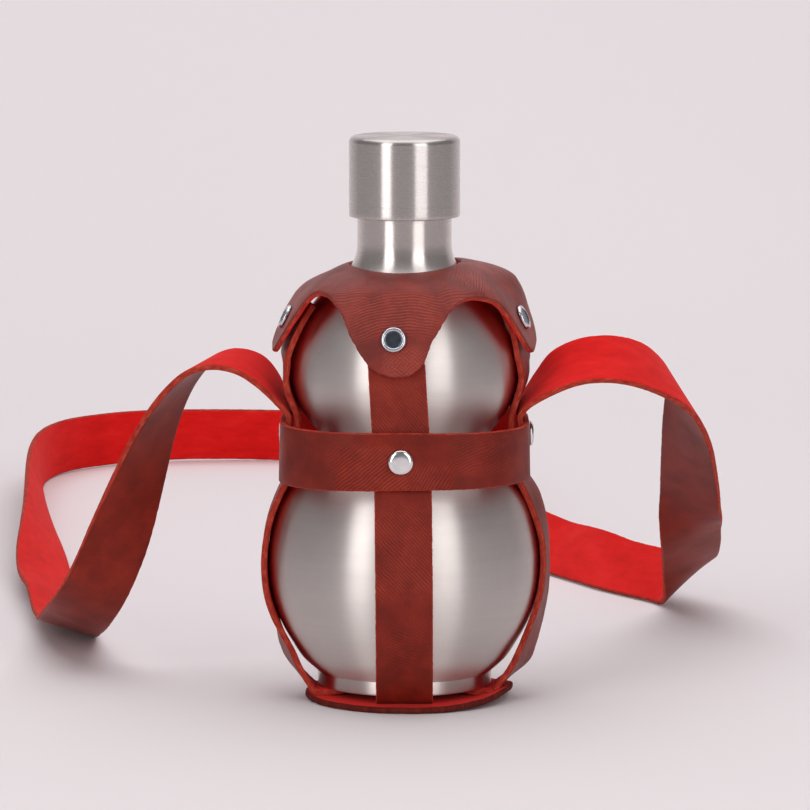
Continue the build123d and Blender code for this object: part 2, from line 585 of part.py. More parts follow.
# ------------------------------------------------------------ shoulder strap
# Stations along the strap, from its left end in the belt to its right end:
# first edge (x, y, z), which faces forwards at the belt, then the other edge.
STRAP = [
    (-37.80, -11.00, 77.60, -37.80, 11.00, 77.60),
    (-37.80, -11.00, 84.00, -37.80, 11.00, 84.00),
    (-37.80, -11.00, 90.60, -37.80, 11.00, 90.60),
    (-37.80, -11.00, 93.00, -37.80, 11.00, 93.00),
    (-40.50, -10.50, 96.50, -39.00, 11.10, 97.00),
    (-47.30, -8.80, 102.60, -41.70, 12.00, 103.70),
    (-54.70, -6.40, 106.90, -46.80, 14.00, 109.30),
    (-63.10, -3.10, 107.90, -54.90, 17.10, 111.00),
    (-70.90, 0.60, 105.40, -62.40, 20.70, 108.00),
    (-77.20, 4.10, 99.90, -67.90, 23.90, 101.70),
    (-83.00, 7.60, 92.60, -72.30, 26.80, 93.40),
    (-89.40, 11.70, 82.20, -76.20, 29.30, 81.50),
    (-97.10, 17.20, 66.60, -80.10, 31.00, 64.10),
    (-103.20, 22.50, 53.40, -83.60, 31.50, 49.20),
    (-107.50, 27.20, 43.50, -87.00, 33.50, 38.40),
    (-111.50, 33.30, 34.80, -90.80, 38.00, 29.10),
    (-115.20, 41.40, 28.00, -94.50, 44.90, 21.40),
    (-118.30, 51.30, 22.90, -97.80, 53.90, 15.60),
    (-120.90, 63.40, 18.70, -100.40, 65.60, 11.00),
    (-123.60, 80.80, 13.80, -103.00, 82.90, 6.60),
    (-126.30, 101.30, 8.70, -105.50, 103.50, 2.00),
    (-127.70, 114.30, 7.51, -106.80, 116.50, 1.01),
    (-129.70, 129.60, 6.63, -108.60, 132.00, 1.03),
    (-132.10, 150.70, 7.32, -111.20, 153.20, 1.02),
    (-134.80, 173.40, 8.50, -114.30, 175.90, 1.00),
    (-138.20, 196.00, 7.71, -117.40, 198.50, 1.01),
    (-141.00, 219.50, 8.30, -120.40, 221.90, 1.00),
    (-142.70, 245.70, 11.52, -123.50, 247.90, 0.92),
    (-143.20, 277.60, 15.57, -126.90, 279.50, 0.77),
    (-144.10, 309.40, 17.98, -130.60, 311.00, 0.68),
    (-145.50, 341.40, 19.58, -134.60, 342.70, 0.58),
    (-147.10, 373.40, 20.64, -138.30, 374.40, 0.44),
    (-148.60, 405.50, 21.28, -141.80, 406.20, 0.38),
    (-149.50, 437.50, 21.78, -145.00, 438.00, 0.28),
    (-149.10, 466.70, 22.10, -147.50, 467.10, 0.10),
    (-147.30, 485.90, 22.30, -147.40, 486.50, 0.30),
    (-144.10, 501.20, 22.40, -145.00, 502.00, 0.40),
    (-139.20, 514.10, 22.50, -140.30, 515.10, 0.50),
    (-132.70, 524.80, 22.40, -133.70, 526.00, 0.50),
    (-124.60, 533.10, 22.40, -125.40, 534.90, 0.50),
    (-114.70, 539.40, 22.50, -115.60, 542.10, 0.70),
    (-102.60, 543.80, 22.50, -103.50, 547.70, 0.80),
    (-87.80, 546.60, 22.30, -88.50, 551.60, 0.90),
    (-70.70, 547.80, 22.10, -71.20, 553.10, 0.70),
    (-55.30, 547.80, 21.90, -55.90, 552.20, 0.40),
    (-41.20, 546.70, 22.03, -42.30, 548.60, 0.13),
    (-28.40, 543.70, 22.04, -30.20, 542.70, 0.14),
    (-16.80, 538.10, 21.98, -19.10, 535.50, 0.18),
    (-6.40, 529.90, 21.99, -8.20, 527.30, 0.19),
    (3.50, 518.50, 22.10, 3.00, 517.10, 0.20),
    (12.30, 504.70, 22.40, 13.30, 504.70, 0.40),
    (19.50, 490.20, 22.50, 21.10, 490.80, 0.60),
    (25.30, 474.50, 22.50, 26.50, 475.00, 0.50),
    (29.80, 456.20, 22.40, 29.80, 456.50, 0.40),
    (32.40, 434.40, 22.20, 30.90, 434.50, 0.30),
    (32.40, 408.50, 22.10, 29.90, 408.60, 0.30),
    (30.10, 376.80, 22.20, 28.10, 376.90, 0.30),
    (28.30, 349.10, 22.20, 28.30, 349.20, 0.20),
    (29.00, 329.60, 22.10, 29.90, 329.80, 0.10),
    (32.00, 313.50, 22.10, 32.10, 313.50, 0.10),
    (37.70, 298.80, 21.99, 34.80, 298.00, 0.19),
    (46.20, 284.80, 20.83, 38.50, 281.90, 0.43),
    (56.00, 271.00, 18.60, 43.90, 265.50, 1.00),
    (62.90, 259.10, 17.40, 49.70, 252.90, 1.00),
    (68.90, 245.10, 18.06, 56.70, 239.30, 0.66),
    (75.80, 230.90, 18.07, 63.70, 225.00, 0.67),
    (84.40, 217.20, 16.66, 70.90, 210.30, 0.76),
    (94.00, 202.60, 16.45, 80.30, 195.50, 0.75),
    (100.10, 192.60, 16.92, 86.80, 185.80, 0.72),
    (104.40, 184.60, 16.60, 90.70, 177.90, 0.80),
    (108.00, 176.20, 17.60, 92.20, 169.50, 3.80),
    (110.30, 167.40, 20.00, 91.80, 162.00, 9.30),
    (111.00, 158.60, 23.60, 91.10, 154.60, 15.10),
    (110.90, 147.10, 28.80, 90.40, 143.90, 21.50),
    (110.30, 135.20, 34.40, 89.60, 132.40, 27.40),
    (110.20, 125.00, 38.40, 88.70, 123.70, 33.80),
    (109.70, 114.00, 41.30, 87.90, 116.60, 42.70),
    (108.50, 102.90, 46.00, 88.10, 108.70, 51.70),
    (107.20, 89.90, 54.20, 87.80, 97.00, 61.60),
    (104.00, 66.30, 69.00, 87.60, 76.30, 79.90),
    (101.40, 54.20, 76.80, 88.00, 65.80, 89.80),
    (99.00, 45.80, 81.90, 88.30, 58.40, 96.40),
    (96.20, 38.00, 86.50, 86.50, 50.90, 101.40),
    (91.70, 28.80, 91.30, 82.80, 41.70, 106.70),
    (85.80, 19.50, 95.50, 77.80, 32.60, 111.30),
    (79.70, 11.50, 98.90, 71.30, 24.90, 114.20),
    (73.30, 4.90, 101.50, 64.10, 19.20, 115.30),
    (66.20, -0.80, 103.10, 56.20, 15.10, 114.50),
    (58.00, -5.50, 103.20, 48.20, 12.80, 110.70),
    (49.60, -8.70, 101.00, 43.10, 11.80, 103.90),
    (40.50, -10.50, 96.50, 39.00, 11.10, 97.00),
    (37.80, -11.00, 93.00, 37.80, 11.00, 93.00),
    (37.80, -11.00, 90.60, 37.80, 11.00, 90.60),
    (37.80, -11.00, 84.00, 37.80, 11.00, 84.00),
    (37.80, -11.00, 77.60, 37.80, 11.00, 77.60),
]
strap_rows = []
for ax, ay, az, bx, by, bz in STRAP:
    strap_rows.append((((ax + bx) / 2, (ay + by) / 2, (az + bz) / 2), (bx - ax, by - ay, bz - az)))
strap_band = ribbon(strap_rows, STRAP_W, LEATHER_T)
with BuildPart() as shoulder_strap:
    add(strap_band)
    for face, n in BELT_RIVETS[2:]:
        with BuildSketch(Plane(origin=v_add(face, n, -5.0), z_dir=n)):
            Circle(RIVET_HOLE)
        extrude(amount=6, mode=Mode.SUBTRACT)
shoulder_strap.part.label = "shoulder_strap"
export_step(shoulder_strap.part, "parts/shoulder_strap.step")

strap_length = sum(hypot(hypot(q[0][0] - p[0][0], q[0][1] - p[0][1]), q[0][2] - p[0][2])
                   for p, q in zip(strap_rows, strap_rows[1:]))
print("strap length", round(strap_length, 1), "volume over section times length",
      round(shoulder_strap.part.volume / (STRAP_W * LEATHER_T * strap_length), 3))

# capacity to the brim, from the inner faces
brim = 0.0
inner_prof = [(0, BASE_Z + 1.4), (18, BASE_Z + 1.4), (22, BASE_Z + WALL)] + lo_in + up_in[1:] + fil_in + [(MOUTH_R, MOUTH_TOP)]
for (ra, za), (rb, zb) in zip(inner_prof, inner_prof[1:]):
    brim += pi / 3 * (ra * ra + ra * rb + rb * rb) * (zb - za)
print("capacity to the brim, ml:", round(brim / 1000, 1))
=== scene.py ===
import bpy
import numpy as np
from math import sin, cos, tan, atan2, radians, degrees, pi, sqrt, exp, tanh
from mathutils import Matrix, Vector, noise


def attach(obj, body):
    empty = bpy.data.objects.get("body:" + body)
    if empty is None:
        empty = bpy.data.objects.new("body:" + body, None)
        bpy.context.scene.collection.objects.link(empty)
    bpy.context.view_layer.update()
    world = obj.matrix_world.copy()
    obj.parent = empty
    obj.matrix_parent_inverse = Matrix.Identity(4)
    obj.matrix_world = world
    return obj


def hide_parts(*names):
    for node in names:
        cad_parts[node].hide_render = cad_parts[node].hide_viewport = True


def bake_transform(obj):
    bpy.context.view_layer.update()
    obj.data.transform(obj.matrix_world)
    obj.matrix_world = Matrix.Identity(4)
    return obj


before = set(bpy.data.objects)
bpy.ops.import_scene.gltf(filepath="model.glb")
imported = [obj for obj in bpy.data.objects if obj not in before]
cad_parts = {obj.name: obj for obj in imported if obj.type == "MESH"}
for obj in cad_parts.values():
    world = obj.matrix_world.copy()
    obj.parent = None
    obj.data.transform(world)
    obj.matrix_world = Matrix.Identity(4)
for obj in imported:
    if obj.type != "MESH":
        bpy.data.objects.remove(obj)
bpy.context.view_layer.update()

MM = 0.001
T = 2.0                       # leather thickness, mm
COLL = bpy.context.scene.collection

# ------------------------------------------------------------ camera
cam_data = bpy.data.cameras.new("camera")
cam_data.sensor_width = 36.0
cam_data.lens = 262.0
cam_data.clip_start = 0.05
cam_data.clip_end = 30.0
cam = bpy.data.objects.new("camera", cam_data)
cam.location = (0.00016, -1.9, 0.342)
cam.rotation_euler = (radians(82.6), 0.0, 0.0)
COLL.objects.link(cam)
bpy.context.scene.camera = cam


# ------------------------------------------------------------ small maths
def unit(a):
    a = np.asarray(a, float)
    return a / np.maximum(np.linalg.norm(a, axis=-1, keepdims=True), 1e-12)


def catmull(points, step):
    """Points every `step` mm along a smooth curve through the given points (any dimension); the length is measured in the first 3 or 2 columns."""
    p = np.asarray(points, float)
    e = np.vstack([2 * p[0] - p[1], p, 2 * p[-1] - p[-2]])
    out = []
    for i in range(len(p) - 1):
        p0, p1, p2, p3 = e[i:i + 4]
        for t in np.linspace(0, 1, 24, endpoint=False):
            out.append(0.5 * (2 * p1 + (p2 - p0) * t + (2 * p0 - 5 * p1 + 4 * p2 - p3) * t * t
                              + (3 * p1 - p0 - 3 * p2 + p3) * t ** 3))
    out.append(p[-1])
    q = np.array(out)
    d = min(3, q.shape[1])
    s = np.r_[0, np.cumsum(np.linalg.norm(np.diff(q[:, :d], axis=0), axis=1))]
    n = max(2, int(round(s[-1] / step)) + 1)
    u = np.linspace(0, s[-1], n)
    return np.stack([np.interp(u, s, q[:, k]) for k in range(q.shape[1])], axis=1)


def fbm(x, y, z, octaves=3):
    v = 0.0
    a = 1.0
    for _ in range(octaves):
        v += a * noise.noise(Vector((x, y, z)))
        x, y, z, a = 2.03 * x + 5.1, 2.03 * y + 1.7, 2.03 * z + 9.2, 0.5 * a
    return v


def smooth(u):
    u = np.clip(u, 0.0, 1.0)
    return u * u * (3 - 2 * u)


# ------------------------------------------------------------ mesh making
def new_object(name, verts, faces, uvs, face_mats, mats, sharp=None):
    """Mesh object from mm vertices. uvs: one (u, v) in mm per vertex or per face corner."""
    me = bpy.data.meshes.new(name)
    me.from_pydata([tuple(v) for v in np.asarray(verts) * MM], [], faces)
    me.validate()
    for m in mats:
        me.materials.append(m)
    me.polygons.foreach_set("material_index", np.asarray(face_mats, dtype=np.int32))
    me.polygons.foreach_set("use_smooth", np.ones(len(me.polygons), dtype=bool))
    if uvs is not None:
        layer = me.uv_layers.new(name="metric")
        uvs = np.asarray(uvs, float)
        if len(uvs) == len(verts):
            idx = np.zeros(len(me.loops), dtype=np.int32)
            me.loops.foreach_get("vertex_index", idx)
            uvs = uvs[idx]
        layer.data.foreach_set("uv", (uvs * MM).astype(np.float32).ravel())
    me.update()
    ob = bpy.data.objects.new(name, me)
    COLL.objects.link(ob)
    return ob


def section_ring(width, thick, radius=0.55, step=0.9):
    """Closed section of a leather band: points (across, up), and which side each edge belongs to (0 top, 1 bottom, 2 cut)."""
    w, h = width / 2, thick / 2
    pts, kinds = [], []

    def run(a, b, kind, n):
        for k in range(n):
            pts.append((a[0] + (b[0] - a[0]) * k / n, a[1] + (b[1] - a[1]) * k / n))
            kinds.append(kind)

    def arc(cx, cy, a0, kinds_):
        for k, kd in enumerate(kinds_):
            a = radians(a0 - 90.0 * k / len(kinds_))
            pts.append((cx + radius * cos(a), cy + radius * sin(a)))
            kinds.append(kd)

    n_top = max(4, int(round((width - 2 * radius) / step)))
    # clockwise seen along the band: left to right on top
    run((-w + radius, h), (w - radius, h), 0, n_top)
    arc(w - radius, h - radius, 90, (0, 2, 2))
    run((w, h - radius), (w, -h + radius), 2, 2)
    arc(w - radius, -h + radius, 0, (2, 2, 1))
    run((w - radius, -h), (-w + radius, -h), 1, n_top)
    arc(-w + radius, -h + radius, -90, (1, 2, 2))
    run((-w, -h + radius), (-w, h - radius), 2, 2)
    arc(-w + radius, h - radius, 180, (2, 2, 0))
    return np.array(pts), kinds


def band(name, centres, across, mats, width=18.0, thick=T, closed=False, widths=None, rag=0.10, seed=0.0,
         cup=0.0, ripple=0.0, uv0=0.0):
    """Leather band: a rounded section swept along the centres. The first material is on the side of run x across."""
    c = np.asarray(centres, float)
    n = len(c)
    if closed:
        run = unit(np.roll(c, -1, 0) - np.roll(c, 1, 0))
    else:
        run = unit(np.gradient(c, axis=0))
    side = unit(across)
    run = unit(run - side * np.sum(run * side, axis=1, keepdims=True))
    up = np.cross(run, side)
    ring, kinds = section_ring(width, thick)
    m = len(ring)
    s = np.r_[0, np.cumsum(np.linalg.norm(np.diff(c, axis=0), axis=1))]
    verts = np.zeros((n, m, 3))
    uv = np.zeros((n, m, 2))
    girth = np.r_[0, np.cumsum(np.linalg.norm(np.diff(np.vstack([ring, ring[:1]]), axis=0), axis=1))]
    hw = width / 2
    for i in range(n):
        k = 1.0 if widths is None else widths[i] / width
        x = ring[:, 0] * k
        y = ring[:, 1].copy()
        edge = np.abs(ring[:, 0]) > hw - 0.6
        if rag:
            for j in np.nonzero(edge)[0]:
                sg = 1.0 if ring[j, 0] > 0 else -1.0
                q = fbm(s[i] * 0.9 + seed, sg * 3.1 + seed, ring[j, 1] * 0.9, 3)
                x[j] += sg * rag * q
                y[j] += 0.35 * rag * fbm(s[i] * 1.3 + 40 + seed, sg * 7.7, ring[j, 1] * 1.1, 2)
        bend = cup * (1 - (ring[:, 0] / hw) ** 2)
        if ripple:
            y = y + ripple * np.array([fbm(s[i] * 0.035 + seed, xx * 0.05, seed, 2) for xx in ring[:, 0]])
        verts[i] = c[i] + np.outer(x, side[i]) + np.outer(y + bend, up[i])
        uv[i, :, 0] = s[i] + uv0
        uv[i, :, 1] = ring[:, 0]
    faces, mats_i, loops_uv = [], [], []
    total = s[-1] + (np.linalg.norm(c[0] - c[-1]) if closed else 0.0)
    for i in range(n if closed else n - 1):
        i2 = (i + 1) % n
        s2 = s[i2] if i2 else total
        for j in range(m):
            j2 = (j + 1) % m
            faces.append((i * m + j, i2 * m + j, i2 * m + j2, i * m + j2))
            mats_i.append(kinds[j])
            if kinds[j] == 2:
                va, vb = girth[j] + 50.0, girth[j + 1] + 50.0
            else:
                va, vb = ring[j, 0], ring[j2, 0]
            loops_uv += [(s[i] + uv0, va), (s2 + uv0, va), (s2 + uv0, vb), (s[i] + uv0, vb)]
    verts = verts.reshape(-1, 3)
    if not closed:
        # flat cut ends: a quad strip across the section
        for end, base, flip in ((0, 0, False), (n - 1, (n - 1) * m, True)):
            loop = list(range(base, base + m))
            pairs = []
            lo, hi = 0, m - 1
            order = [loop[(k + m - 2) % m] for k in range(m)]
            while hi - lo > 1:
                quad = [order[lo], order[lo + 1], order[hi - 1], order[hi]]
                if hi - 1 == lo + 1:
                    quad = [order[lo], order[lo + 1], order[hi]]
                pairs.append(quad)
                lo += 1
                hi -= 1
            for q in pairs:
                q = q[::-1] if flip else q
                faces.append(tuple(q))
                mats_i.append(2)
                for v in q:
                    r = ring[v % m]
                    loops_uv.append((s[-1 if flip else 0] + 80.0 + r[1], r[0]))
    ob = new_object(name, verts, faces, loops_uv, mats_i, mats)
    return ob


def lathe(name, profile, mats, seg=256, centre=(0.0, 0.0, 0.0), axis=(0.0, 0.0, 1.0), closed=True, kinds=None, uv_r=None):
    """Solid of revolution: profile is a list of (r, h) points round the section, outer side running upwards first."""
    ax = unit(axis)
    ref = np.array([1.0, 0, 0]) if abs(ax[2]) > 0.9 else np.array([0, 0, 1.0])
    ex = unit(ref - ax * np.dot(ref, ax))
    ey = np.cross(ax, ex)
    prof = np.asarray(profile, float)
    m = len(prof)
    verts, start = [], []
    for r, h in prof:
        start.append(len(verts))
        if r < 1e-6:
            verts.append(np.asarray(centre) + ax * h)
        else:
            for k in range(seg):
                a = 2 * pi * k / seg
                verts.append(np.asarray(centre) + (ex * cos(a) + ey * sin(a)) * r + ax * h)
    girth = np.r_[0, np.cumsum(np.linalg.norm(np.diff(np.vstack([prof, prof[:1]]), axis=0), axis=1))]
    faces, fm, uv = [], [], []
    for i in range(m if closed else m - 1):
        j = (i + 1) % m
        ri, rj = prof[i][0], prof[j][0]
        if ri < 1e-6 and rj < 1e-6:
            continue
        for k in range(seg):
            k2 = (k + 1) % seg
            rr = uv_r or max(ri, rj)
            ua, ub = 2 * pi * rr * k / seg, 2 * pi * rr * (k + 1) / seg
            if ri < 1e-6:
                faces.append((start[i], start[j] + k2, start[j] + k))
                uv += [((ua + ub) / 2, girth[i]), (ub, girth[i + 1]), (ua, girth[i + 1])]
            elif rj < 1e-6:
                faces.append((start[i] + k, start[i] + k2, start[j]))
                uv += [(ua, girth[i]), (ub, girth[i]), ((ua + ub) / 2, girth[i + 1])]
            else:
                faces.append((start[i] + k, start[i] + k2, start[j] + k2, start[j] + k))
                uv += [(ua, girth[i]), (ub, girth[i]), (ub, girth[i + 1]), (ua, girth[i + 1])]
            fm.append(kinds[i] if kinds else 0)
    return new_object(name, verts, faces, uv, fm, mats)


# ------------------------------------------------------------ shaders
def material(name):
    m = bpy.data.materials.new(name)
    m.use_nodes = True
    nt = m.node_tree
    nt.nodes.clear()
    out = nt.nodes.new("ShaderNodeOutputMaterial")
    bsdf = nt.nodes.new("ShaderNodeBsdfPrincipled")
    nt.links.new(bsdf.outputs["BSDF"], out.inputs["Surface"])
    return m, nt, bsdf


def node(nt, kind, **props):
    n = nt.nodes.new(kind)
    for k, v in props.items():
        setattr(n, k, v)
    return n


def link(nt, a, b):
    nt.links.new(a, b)


def metric(nt):
    """Metric coordinates of a piece, in metres: along, across."""
    n = node(nt, "ShaderNodeUVMap", uv_map="metric")
    return n.outputs["UV"]


def object_co(nt):
    return node(nt, "ShaderNodeTexCoord").outputs["Object"]


def mapped(nt, vec, scale=(1, 1, 1), rot=(0, 0, 0), loc=(0, 0, 0)):
    m = node(nt, "ShaderNodeMapping")
    m.inputs["Scale"].default_value = scale
    m.inputs["Rotation"].default_value = rot
    m.inputs["Location"].default_value = loc
    link(nt, vec, m.inputs["Vector"])
    return m.outputs["Vector"]


def noise_tex(nt, vec, scale=1.0, detail=3.0, rough=0.5, distortion=0.0):
    n = node(nt, "ShaderNodeTexNoise")
    n.inputs["Scale"].default_value = scale
    n.inputs["Detail"].default_value = detail
    n.inputs["Roughness"].default_value = rough
    n.inputs["Distortion"].default_value = distortion
    link(nt, vec, n.inputs["Vector"])
    return n.outputs["Fac"]


def ramp(nt, fac, stops):
    r = node(nt, "ShaderNodeValToRGB")
    e = r.color_ramp.elements
    while len(e) > 1:
        e.remove(e[-1])
    e[0].position, e[0].color = stops[0][0], (*stops[0][1], 1.0) if len(stops[0][1]) == 3 else stops[0][1]
    for p, c in stops[1:]:
        k = e.new(p)
        k.color = (*c, 1.0) if len(c) == 3 else c
    link(nt, fac, r.inputs["Fac"])
    return r.outputs["Color"]


def grey(nt, fac, lo, hi, a=0.0, b=1.0):
    """Maps fac from lo..hi to a..b, clamped."""
    m = node(nt, "ShaderNodeMapRange", clamp=True)
    m.inputs["From Min"].default_value = lo
    m.inputs["From Max"].default_value = hi
    m.inputs["To Min"].default_value = a
    m.inputs["To Max"].default_value = b
    link(nt, fac, m.inputs["Value"])
    return m.outputs["Result"]


def smoothed(nt, fac, lo, hi, a=0.0, b=1.0):
    m = node(nt, "ShaderNodeMapRange", interpolation_type="SMOOTHSTEP")
    m.inputs["From Min"].default_value = lo
    m.inputs["From Max"].default_value = hi
    m.inputs["To Min"].default_value = a
    m.inputs["To Max"].default_value = b
    link(nt, fac, m.inputs["Value"])
    return m.outputs["Result"]


def calc(nt, op, a, b=None, c=None):
    m = node(nt, "ShaderNodeMath", operation=op)
    for k, v in enumerate((a, b, c)):
        if v is None:
            continue
        if isinstance(v, (int, float)):
            m.inputs[k].default_value = v
        else:
            link(nt, v, m.inputs[k])
    return m.outputs["Value"]


def mix_col(nt, fac, a, b, blend="MIX"):
    m = node(nt, "ShaderNodeMix", data_type="RGBA", blend_type=blend)
    if isinstance(fac, (int, float)):
        m.inputs["Factor"].default_value = fac
    else:
        link(nt, fac, m.inputs["Factor"])
    for sock, v in ((m.inputs[6], a), (m.inputs[7], b)):
        if isinstance(v, tuple):
            sock.default_value = (*v, 1.0)
        else:
            link(nt, v, sock)
    return m.outputs[2]


def bump(nt, bsdf, height, strength, distance, before=None):
    b = node(nt, "ShaderNodeBump")
    b.inputs["Strength"].default_value = strength
    b.inputs["Distance"].default_value = distance
    link(nt, height, b.inputs["Height"])
    if before is not None:
        link(nt, before, b.inputs["Normal"])
    link(nt, b.outputs["Normal"], bsdf.inputs["Normal"])
    return b.outputs["Normal"]


def sep(nt, vec):
    s = node(nt, "ShaderNodeSeparateXYZ")
    link(nt, vec, s.inputs["Vector"])
    return s.outputs["X"], s.outputs["Y"], s.outputs["Z"]


# colours, linear
GRAIN_DARK = (0.138, 0.0088, 0.0036)
GRAIN_MID = (0.232, 0.0165, 0.0062)
GRAIN_LIGHT = (0.335, 0.0350, 0.0140)
SUEDE_DARK = (0.510, 0.0055, 0.0055)
SUEDE = (0.720, 0.0095, 0.0090)
SUEDE_LIGHT = (0.860, 0.0260, 0.0230)
CUT_DARK = (0.210, 0.0110, 0.0070)
CUT = (0.400, 0.0340, 0.0190)
CUT_LIGHT = (0.620, 0.1050, 0.0600)


def grain_leather(name, weave=0.5, creases=None, roughness=0.46, tint=1.0, spec=0.26):
    """Smooth side of the leather. weave: how strong the pressed cross-hatch is. creases: list of
    (angle deg, period mm, strength, centre along mm, half length mm, centre across mm, half width mm)."""
    m, nt, b = material(name)
    uv = metric(nt)
    cloud = noise_tex(nt, mapped(nt, uv, (60, 60, 60)), 1.0, 4.0, 0.6)
    fine = noise_tex(nt, mapped(nt, uv, (1500, 1500, 1500)), 1.0, 3.0, 0.6)
    lines_a = noise_tex(nt, mapped(nt, uv, (170, 2100, 1)), 1.0, 2.0, 0.55)
    lines_b = noise_tex(nt, mapped(nt, uv, (2100, 170, 1)), 1.0, 2.0, 0.55)
    patch = grey(nt, noise_tex(nt, mapped(nt, uv, (110, 110, 110), loc=(3, 7, 1)), 1.0, 2.0, 0.5), 0.38, 0.66, 0.25, 1.0)
    weave_h = calc(nt, "MULTIPLY", calc(nt, "ADD", lines_a, lines_b), patch)
    pores = node(nt, "ShaderNodeTexVoronoi", feature="DISTANCE_TO_EDGE")
    pores.inputs["Scale"].default_value = 1900.0
    link(nt, uv, pores.inputs["Vector"])
    cells = grey(nt, pores.outputs["Distance"], 0.0, 0.12, 0.0, 1.0)
    height = calc(nt, "MULTIPLY_ADD", weave_h, 0.55 * weave, calc(nt, "MULTIPLY", fine, 0.35))
    height = calc(nt, "MULTIPLY_ADD", cells, 0.10, height)
    crease_sum = None
    if creases:
        u, v, _ = sep(nt, uv)
        for k, (ang, period, strength, cu, hu, cv, hv) in enumerate(creases):
            f = 1000.0 / period
            r = radians(ang)
            warp = noise_tex(nt, mapped(nt, uv, (140, 140, 140), loc=(k * 3.1, 0, 0)), 1.0, 2.0, 0.5)
            # distance across the lines, bent a little by noise
            across = calc(nt, "ADD", calc(nt, "MULTIPLY", u, -sin(r) * f), calc(nt, "MULTIPLY", v, cos(r) * f))
            across = calc(nt, "MULTIPLY_ADD", warp, 1.7, across)
            wave = calc(nt, "SINE", calc(nt, "MULTIPLY", across, 2 * pi))
            worn = grey(nt, noise_tex(nt, mapped(nt, uv, (330, 330, 330), loc=(1, k * 2.7, 5)), 1.0, 3.0, 0.6), 0.36, 0.60, 0.35, 1.0)
            ln = calc(nt, "MULTIPLY", calc(nt, "MULTIPLY_ADD", wave, 0.5, 0.5), worn)
            du = calc(nt, "ABSOLUTE", calc(nt, "SUBTRACT", u, cu * MM))
            dv = calc(nt, "ABSOLUTE", calc(nt, "SUBTRACT", v, cv * MM))
            mu = smoothed(nt, du, hu * MM * 0.45, hu * MM, 1.0, 0.0)
            mv = smoothed(nt, dv, hv * MM * 0.45, hv * MM, 1.0, 0.0)
            mask = calc(nt, "MULTIPLY", calc(nt, "MULTIPLY", mu, mv), strength)
            part = calc(nt, "MULTIPLY", ln, mask)
            crease_sum = part if crease_sum is None else calc(nt, "ADD", crease_sum, part)
    # colour: cloud is the leather's own uneven tone; the relief height adds painted shade in the pores and cross-hatch
    # grooves, and painted light on their tops
    tone = calc(nt, "MULTIPLY_ADD", height, 0.42, calc(nt, "MULTIPLY", cloud, 0.50))
    if creases:
        height = calc(nt, "ADD", height, crease_sum)
        # the crease waves also go into the colour: painted shade in their troughs and painted highlight on their crests
        tone = calc(nt, "MULTIPLY_ADD", crease_sum, 0.17, calc(nt, "SUBTRACT", tone, 0.05))
    col = ramp(nt, tone, [(0.30, tuple(tint * c for c in GRAIN_DARK)), (0.50, tuple(tint * c for c in GRAIN_MID)),
                          (0.86, tuple(tint * c for c in GRAIN_LIGHT))])
    link(nt, col, b.inputs["Base Color"])
    link(nt, grey(nt, cloud, 0.3, 0.7, roughness + 0.06, roughness - 0.05), b.inputs["Roughness"])
    b.inputs["Specular IOR Level"].default_value = spec
    b.inputs["Sheen Weight"].default_value = 0.03
    b.inputs["Sheen Roughness"].default_value = 0.45
    b.inputs["Sheen Tint"].default_value = (0.95, 0.80, 0.82, 1.0)
    bump(nt, b, height, 0.55, 0.00022)
    return m


def suede_leather(name):
    """Dyed flesh side: short red nap with brushed patches."""
    m, nt, b = material(name)
    uv = metric(nt)
    nap = noise_tex(nt, mapped(nt, uv, (2600, 1500, 1)), 1.0, 3.0, 0.65)
    brushed = noise_tex(nt, mapped(nt, uv, (90, 260, 1), loc=(1, 2, 3)), 1.0, 4.0, 0.6, 0.3)
    cloud = noise_tex(nt, mapped(nt, uv, (35, 60, 1), loc=(4, 4, 4)), 1.0, 3.0, 0.5)
    tone = calc(nt, "MULTIPLY_ADD", nap, 0.30, calc(nt, "MULTIPLY_ADD", brushed, 0.40, calc(nt, "MULTIPLY", cloud, 0.30)))
    col = ramp(nt, tone, [(0.30, SUEDE_DARK), (0.50, SUEDE), (0.74, SUEDE_LIGHT)])
    link(nt, col, b.inputs["Base Color"])
    b.inputs["Roughness"].default_value = 0.92
    b.inputs["Specular IOR Level"].default_value = 0.12
    b.inputs["Sheen Weight"].default_value = 0.15
    b.inputs["Sheen Roughness"].default_value = 0.55
    b.inputs["Sheen Tint"].default_value = (0.95, 0.25, 0.22, 1.0)
    bump(nt, b, calc(nt, "MULTIPLY_ADD", brushed, 0.6, nap), 0.5, 0.00018)
    return m


def cut_leather(name, tint=1.0):
    """Raw cut edge: fibres along the edge, lighter than the faces; tint scales the colours, and a low tint paints shade
    on the edge.
    """
    m, nt, b = material(name)
    uv = metric(nt)
    fibre = noise_tex(nt, mapped(nt, uv, (420, 2600, 1)), 1.0, 3.0, 0.6)
    spots = noise_tex(nt, mapped(nt, uv, (300, 500, 1), loc=(5, 1, 2)), 1.0, 3.0, 0.6)
    tone = calc(nt, "MULTIPLY_ADD", fibre, 0.55, calc(nt, "MULTIPLY", spots, 0.45))
    col = ramp(nt, tone, [(0.32, tuple(tint * c for c in CUT_DARK)), (0.50, tuple(tint * c for c in CUT)),
                          (0.70, tuple(tint * c for c in CUT_LIGHT))])
    link(nt, col, b.inputs["Base Color"])
    b.inputs["Roughness"].default_value = 0.85
    b.inputs["Specular IOR Level"].default_value = 0.2
    bump(nt, b, fibre, 0.6, 0.0002)
    return m


